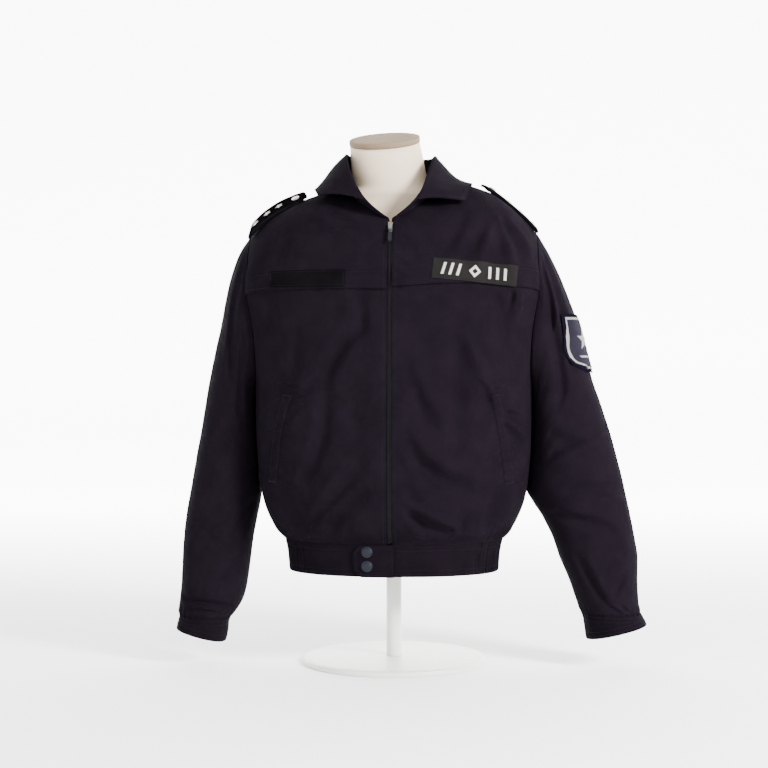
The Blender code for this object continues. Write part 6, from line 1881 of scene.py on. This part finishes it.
def board_line(table, place):
    """A board's underside on the +X side: 101 places along it with middle, half width and slope."""
    parts = np.linspace(0.0, 1.0, 101)
    x, half_width, lift = [read_table(table, BOARD_COLUMNS, name, parts) for name in BOARD_COLUMNS[1:]]
    y = np.full(len(parts), place["y"])
    along, level = find_on_body("front", place["side"], np.minimum(x, BOARD_BEND_X), y, (0, 1), 1.9)
    z = plain_body("front", place["side"], along, level)[:, 2] + lift
    z = z - np.maximum(0.0, x - BOARD_BEND_X) * BOARD_BEND_SLOPE
    middle = np.stack([x, y, z], axis=1)
    slope = math.tan(math.radians(place["tilt"]))
    edge = np.stack([np.zeros(101), half_width, half_width * slope], axis=1)
    run = unit(np.gradient(middle, axis=0))
    up = unit(np.cross(run, edge))
    up = up * np.sign(up[:, 2:])
    return {"x": x, "middle": middle, "edge": edge, "run": run, "up": up}


def board_spot(line, x, side):
    """The top of a board at a distance from the body's middle, with its directions."""
    flip = np.array([side, 1.0, 1.0])
    names = ("middle", "run", "up")
    here, run, up = [
        np.array([np.interp(x, line["x"], line[name][:, axis]) for axis in range(3)]) for name in names
    ]
    return (here + up * BOARD_WALL) * flip, unit(run * flip), unit(up * flip)


def add_epaulette(word, side, table, place):
    flip = np.array([side, 1.0, 1.0])
    line = board_line(table, place)
    spread = np.sin(np.linspace(-0.5, 0.5, 15) * math.pi)
    rows = []
    for row in [0, 2, 5, 9, 14] + list(range(20, 101, 3)) + [100]:
        part = row / 100.0
        thick = (BOARD_WALL + 0.0004) * (1.0 - 0.30 * np.abs(spread) ** 6)
        thick = thick * (0.75 + 0.25 * ease(0.0, 0.1, part)) * (1.0 - 0.25 * ease(0.97, 1.0, part))
        middle = line["middle"][row] + line["edge"][row] * spread[:, None]
        rows.append(middle + line["up"][row] * thick[:, None])
    grid = np.array(rows) * flip
    away = grid.mean(axis=(0, 1)) - np.array([0.0, 0.0, 0.2])
    for edge in ("start", "end"):
        for distance in (0.0030, 0.0052):
            sew_edge(grid, edge, distance, away=away, start=0.05)
    made = make_shell("board_" + word, grid, BOARD_WALL - 0.0010, BOARD, away)
    finish_piece(made, ("epaulette_" + word,))
    for number, spot in enumerate(STAR_SPOTS, start=1):
        here, run, up = board_spot(line, spot, side)
        name = "%s_%d" % (word, number)
        add_star("shoulder_star_" + name, "star_" + name, here + up * 0.0002, run, up)
    here, run, up = board_spot(line, BUTTON_SPOT, side)
    profile = (
        (0.0060, 0.0),
        (0.0065, 0.0008),
        (0.0065, 0.0018),
        (0.0058, 0.0024),
        (0.0052, 0.0021),
        (0.0034, 0.0028),
        (0.0010, 0.0031),
    )
    points, faces = turned(here + up * 0.0003, up, profile, 40)
    made = make_object("shoulder_button_" + word, points, faces, SILVER, smooth_angle=45.0)
    finish_piece(made, ("button_" + word,))


def add_star(name, node, base, run, up):
    """A five-pointed star with folded arms and a raised middle."""
    second = np.cross(up, run)
    points = [base - up * 0.0002]
    for distance, grow in ((0.0, 1.0), (0.0005, 1.0)):
        for step in range(10):
            radius = STAR_RADIUS * grow * (1.0 if step % 2 == 0 else 0.42)
            turn = math.pi * step / 5
            points.append(base + up * distance + (run * math.cos(turn) + second * math.sin(turn)) * radius)
    points.append(base + up * 0.0022)
    faces = []
    for step in range(10):
        after = (step + 1) % 10
        faces.append((0, 1 + after, 1 + step))
        faces.append((1 + step, 1 + after, 11 + after, 11 + step))
        faces.append((11 + step, 11 + after, 21))
    made = make_object(name, np.array(points), faces, SILVER, smooth_angle=10.0)
    finish_piece(made, (node,))


# ---- Dress form and stand


def form_ring(row):
    height, half_width, front, back, x_middle, y = [row[name] for name in FORM_COLUMNS]
    turns = np.linspace(0.0, 2 * math.pi, FORM_SIDES, endpoint=False)
    power = 2.0 / FORM_SQUARENESS
    cosine, sine = np.cos(turns), np.sin(turns)
    x = half_width * np.sign(cosine) * np.abs(cosine) ** power
    deep = np.where(sine < 0, front, back) * np.sign(sine) * np.abs(sine) ** power
    return np.stack([x_middle + x, y + deep, np.full(FORM_SIDES, height)], axis=1)


def neck_ring(distance, grow):
    tilt = np.array([0.0, math.cos(NECK_TILT), math.sin(NECK_TILT)])
    lean = np.array([math.cos(NECK_LEAN), 0.0, math.sin(NECK_LEAN)])
    up = unit(np.cross(lean, tilt))
    tilt = np.cross(up, lean)
    turns = np.linspace(0.0, 2 * math.pi, FORM_SIDES, endpoint=False)
    wide = (NECK_HALF_WIDTH + grow) * np.cos(turns)
    deep = (NECK_HALF_DEPTH + grow) * np.sin(turns)
    return np.array(NECK_CENTRE) + up * distance + wide[:, None] * lean + deep[:, None] * tilt


def capped(rings):
    """Points and faces of a closed solid through a stack of rings."""
    count = len(rings[0])
    faces = [tuple(quad) for quad in quad_indices(len(rings), count, True)]
    faces.append(tuple(range(count)))
    faces.append(tuple(range((len(rings) - 1) * count, len(rings) * count)))
    return np.concatenate(rings), faces


def smooth_rings(rings, times):
    """Rings between the given ones on a smooth curve through them."""
    rings = np.array(rings)
    padded = np.concatenate([rings[:1], rings, rings[-1:]])
    made = []
    for index in range(len(rings) - 1):
        a, b, c, d = padded[index : index + 4]
        for share in np.arange(times) / times:
            bend = (2 * a - 5 * b + 4 * c - d) * share**2 + (-a + 3 * b - 3 * c + d) * share**3
            made.append(0.5 * (2 * b + (c - a) * share + bend))
    return made + [rings[-1]]


def add_form():
    rings = [form_ring(row) for row in named_rows(FORM, FORM_COLUMNS)]
    rings.append(neck_ring(-0.0010, 0.0))
    body = smooth_rings(rings, 4)
    body.append(neck_ring(0.0, -0.0008))
    points, faces = capped(body)
    made = make_object("form_torso", points, faces, CREAM, smooth_angle=50.0)
    finish_piece(made, ("dress_form",))
    profile = ((0.0002, -0.0012), (0.0008, 0.0002), (0.0018, 0.0008), (0.0084, 0.0008))
    profile += ((0.0096, 0.0000), (0.0101, -0.0016), (0.0104, -0.0100), (0.0106, -0.0300))
    points, faces = capped([neck_ring(distance, grow) for distance, grow in profile])
    made = make_object("neck_cover", points, faces, CAP_CREAM, smooth_angle=50.0)
    finish_piece(made, ("neck_cap",))
    top = FORM[0, 0] - 0.0003
    profile = ((0.0125, 0.0103), (0.0125, top - 0.004), (0.0118, top))
    points, faces = turned((0.0, 0.0, 0.0), (0, 0, 1), profile, 64)
    made = make_object("stand_tube", points, faces, WHITE_METAL, smooth_angle=35.0)
    finish_piece(made, ("stand_pole",))
    rim = ((0.1485, 0.0), (0.1500, 0.0015), (0.1500, 0.0060), (0.1490, 0.0080), (0.1460, 0.0094))
    rim += ((0.1400, 0.0100), (0.0300, 0.0100), (0.0180, 0.0100))
    points, faces = turned((0.0, 0.0, 0.0), (0, 0, 1), rim, 128)
    made = make_object("stand_plate", points, faces, WHITE_METAL, smooth_angle=35.0)
    finish_piece(made, ("stand_base",))


# ---- Camera, lights and floor


def add_camera():
    camera = bpy.data.cameras.new("camera")
    camera.lens = CAMERA_LENS
    camera.sensor_width = 36.0
    camera.shift_x = CAMERA_SHIFT
    placed = bpy.data.objects.new("camera", camera)
    placed.location = (
        math.sin(CAMERA_TURN) * CAMERA_DISTANCE,
        -math.cos(CAMERA_TURN) * CAMERA_DISTANCE,
        CAMERA_HEIGHT,
    )
    placed.rotation_euler = (math.radians(90.0), 0.0, CAMERA_TURN)
    bpy.context.scene.collection.objects.link(placed)
    bpy.context.scene.camera = placed


LIGHTS = (
    ("key", (2.40, -1.80, 1.75), 0.9, 385.0),
    ("fill", (-2.3, -1.6, 1.0), 1.6, 42.0),
)
SKY_STRENGTH = 1.8
BACKDROP_GLOW = 6.5
BACKDROP_GLOW_START = 0.2
BACKDROP_GLOW_END = 3.2
BACKDROP_HALF_WIDTH = 14.0
BACKDROP_CURVE = ((-12.0, 0.0), (0.0, 0.0), (3.4, 0.0), (3.9, 0.05), (4.25, 0.25), (4.4, 0.6), (4.4, 7.0))


def add_lights():
    for name, spot, size, power in LIGHTS:
        lamp = bpy.data.lights.new(name, "AREA")
        lamp.shape = "DISK"
        lamp.size = size
        lamp.energy = power
        placed = bpy.data.objects.new(name, lamp)
        placed.location = spot
        aim = np.array([0.0, 0.0, 0.5]) - np.array(spot)
        yaw = math.atan2(aim[1], aim[0]) - math.pi / 2
        pitch = math.atan2(math.hypot(aim[0], aim[1]), -aim[2])
        placed.rotation_euler = (pitch, 0.0, yaw)
        bpy.context.scene.collection.objects.link(placed)
    world = bpy.data.worlds.new("soft white")
    world.use_nodes = True
    sky = world.node_tree.nodes["Background"]
    sky.inputs["Color"].default_value = (1.0, 1.0, 1.0, 1.0)
    sky.inputs["Strength"].default_value = SKY_STRENGTH
    bpy.context.scene.world = world


def add_floor():
    """White floor that curves up into a glowing white wall behind the jacket."""
    points = []
    for y, z in BACKDROP_CURVE:
        points += [(-BACKDROP_HALF_WIDTH, y, z), (BACKDROP_HALF_WIDTH, y, z)]
    faces = [(2 * i, 2 * i + 1, 2 * i + 3, 2 * i + 2) for i in range(len(BACKDROP_CURVE) - 1)]
    mesh = bpy.data.meshes.new("floor")
    mesh.from_pydata(points, [], faces)
    mesh.shade_smooth()
    floor = bpy.data.objects.new("floor", mesh)
    bpy.context.scene.collection.objects.link(floor)
    material, tree, shader = plain_material("white backdrop", (0.9, 0.9, 0.9), 0.9)
    place = tree.nodes.new("ShaderNodeTexCoord")
    axes = tree.nodes.new("ShaderNodeSeparateXYZ")
    glow = tree.nodes.new("ShaderNodeMapRange")
    glow.interpolation_type = "SMOOTHSTEP"
    glow.inputs["From Min"].default_value = BACKDROP_GLOW_START
    glow.inputs["From Max"].default_value = BACKDROP_GLOW_END
    glow.inputs["To Max"].default_value = BACKDROP_GLOW
    link(tree, place, "Object", axes, "Vector")
    link(tree, axes, "Y", glow, "Value")
    link(tree, glow, "Result", shader, "Emission Strength")
    shader.inputs["Emission Color"].default_value = (1.0, 1.0, 1.0, 1.0)
    mesh.materials.append(material)


def build():
    add_camera()
    add_lights()
    add_floor()
    add_form()
    add_back()
    for word, side in (("right", -1), ("left", 1)):
        add_front(word, side)
        add_yoke(word, side)
        add_hem_front(word, side)
        add_hem_elastic(word, side)
        add_welt(word, side)
    add_hem_back()
    sleeve = add_sleeve_and_cuff("left", 1, LEFT_SLEEVE, LEFT_SLEEVE_FOLDS, LEFT_CUFF_END)
    add_sleeve_and_cuff("right", -1, RIGHT_SLEEVE, RIGHT_SLEEVE_FOLDS, RIGHT_CUFF_END)
    add_collar()
    add_hem_tab()
    add_snaps()
    add_zip_tape()
    add_zip_chain()
    add_slider_and_pull()
    add_chest_piece("name_strip", NAME_TAPE, "name_tape", TAPE, "dark_cloth", (0.123, 0.027, None))
    add_chest_patch()
    add_sleeve_badge(sleeve)
    add_epaulette("right", -1, RIGHT_BOARD, RIGHT_BOARD_PLACE)
    add_epaulette("left", 1, LEFT_BOARD, LEFT_BOARD_PLACE)
    finish_piece(make_threads(THREAD), ())


build()
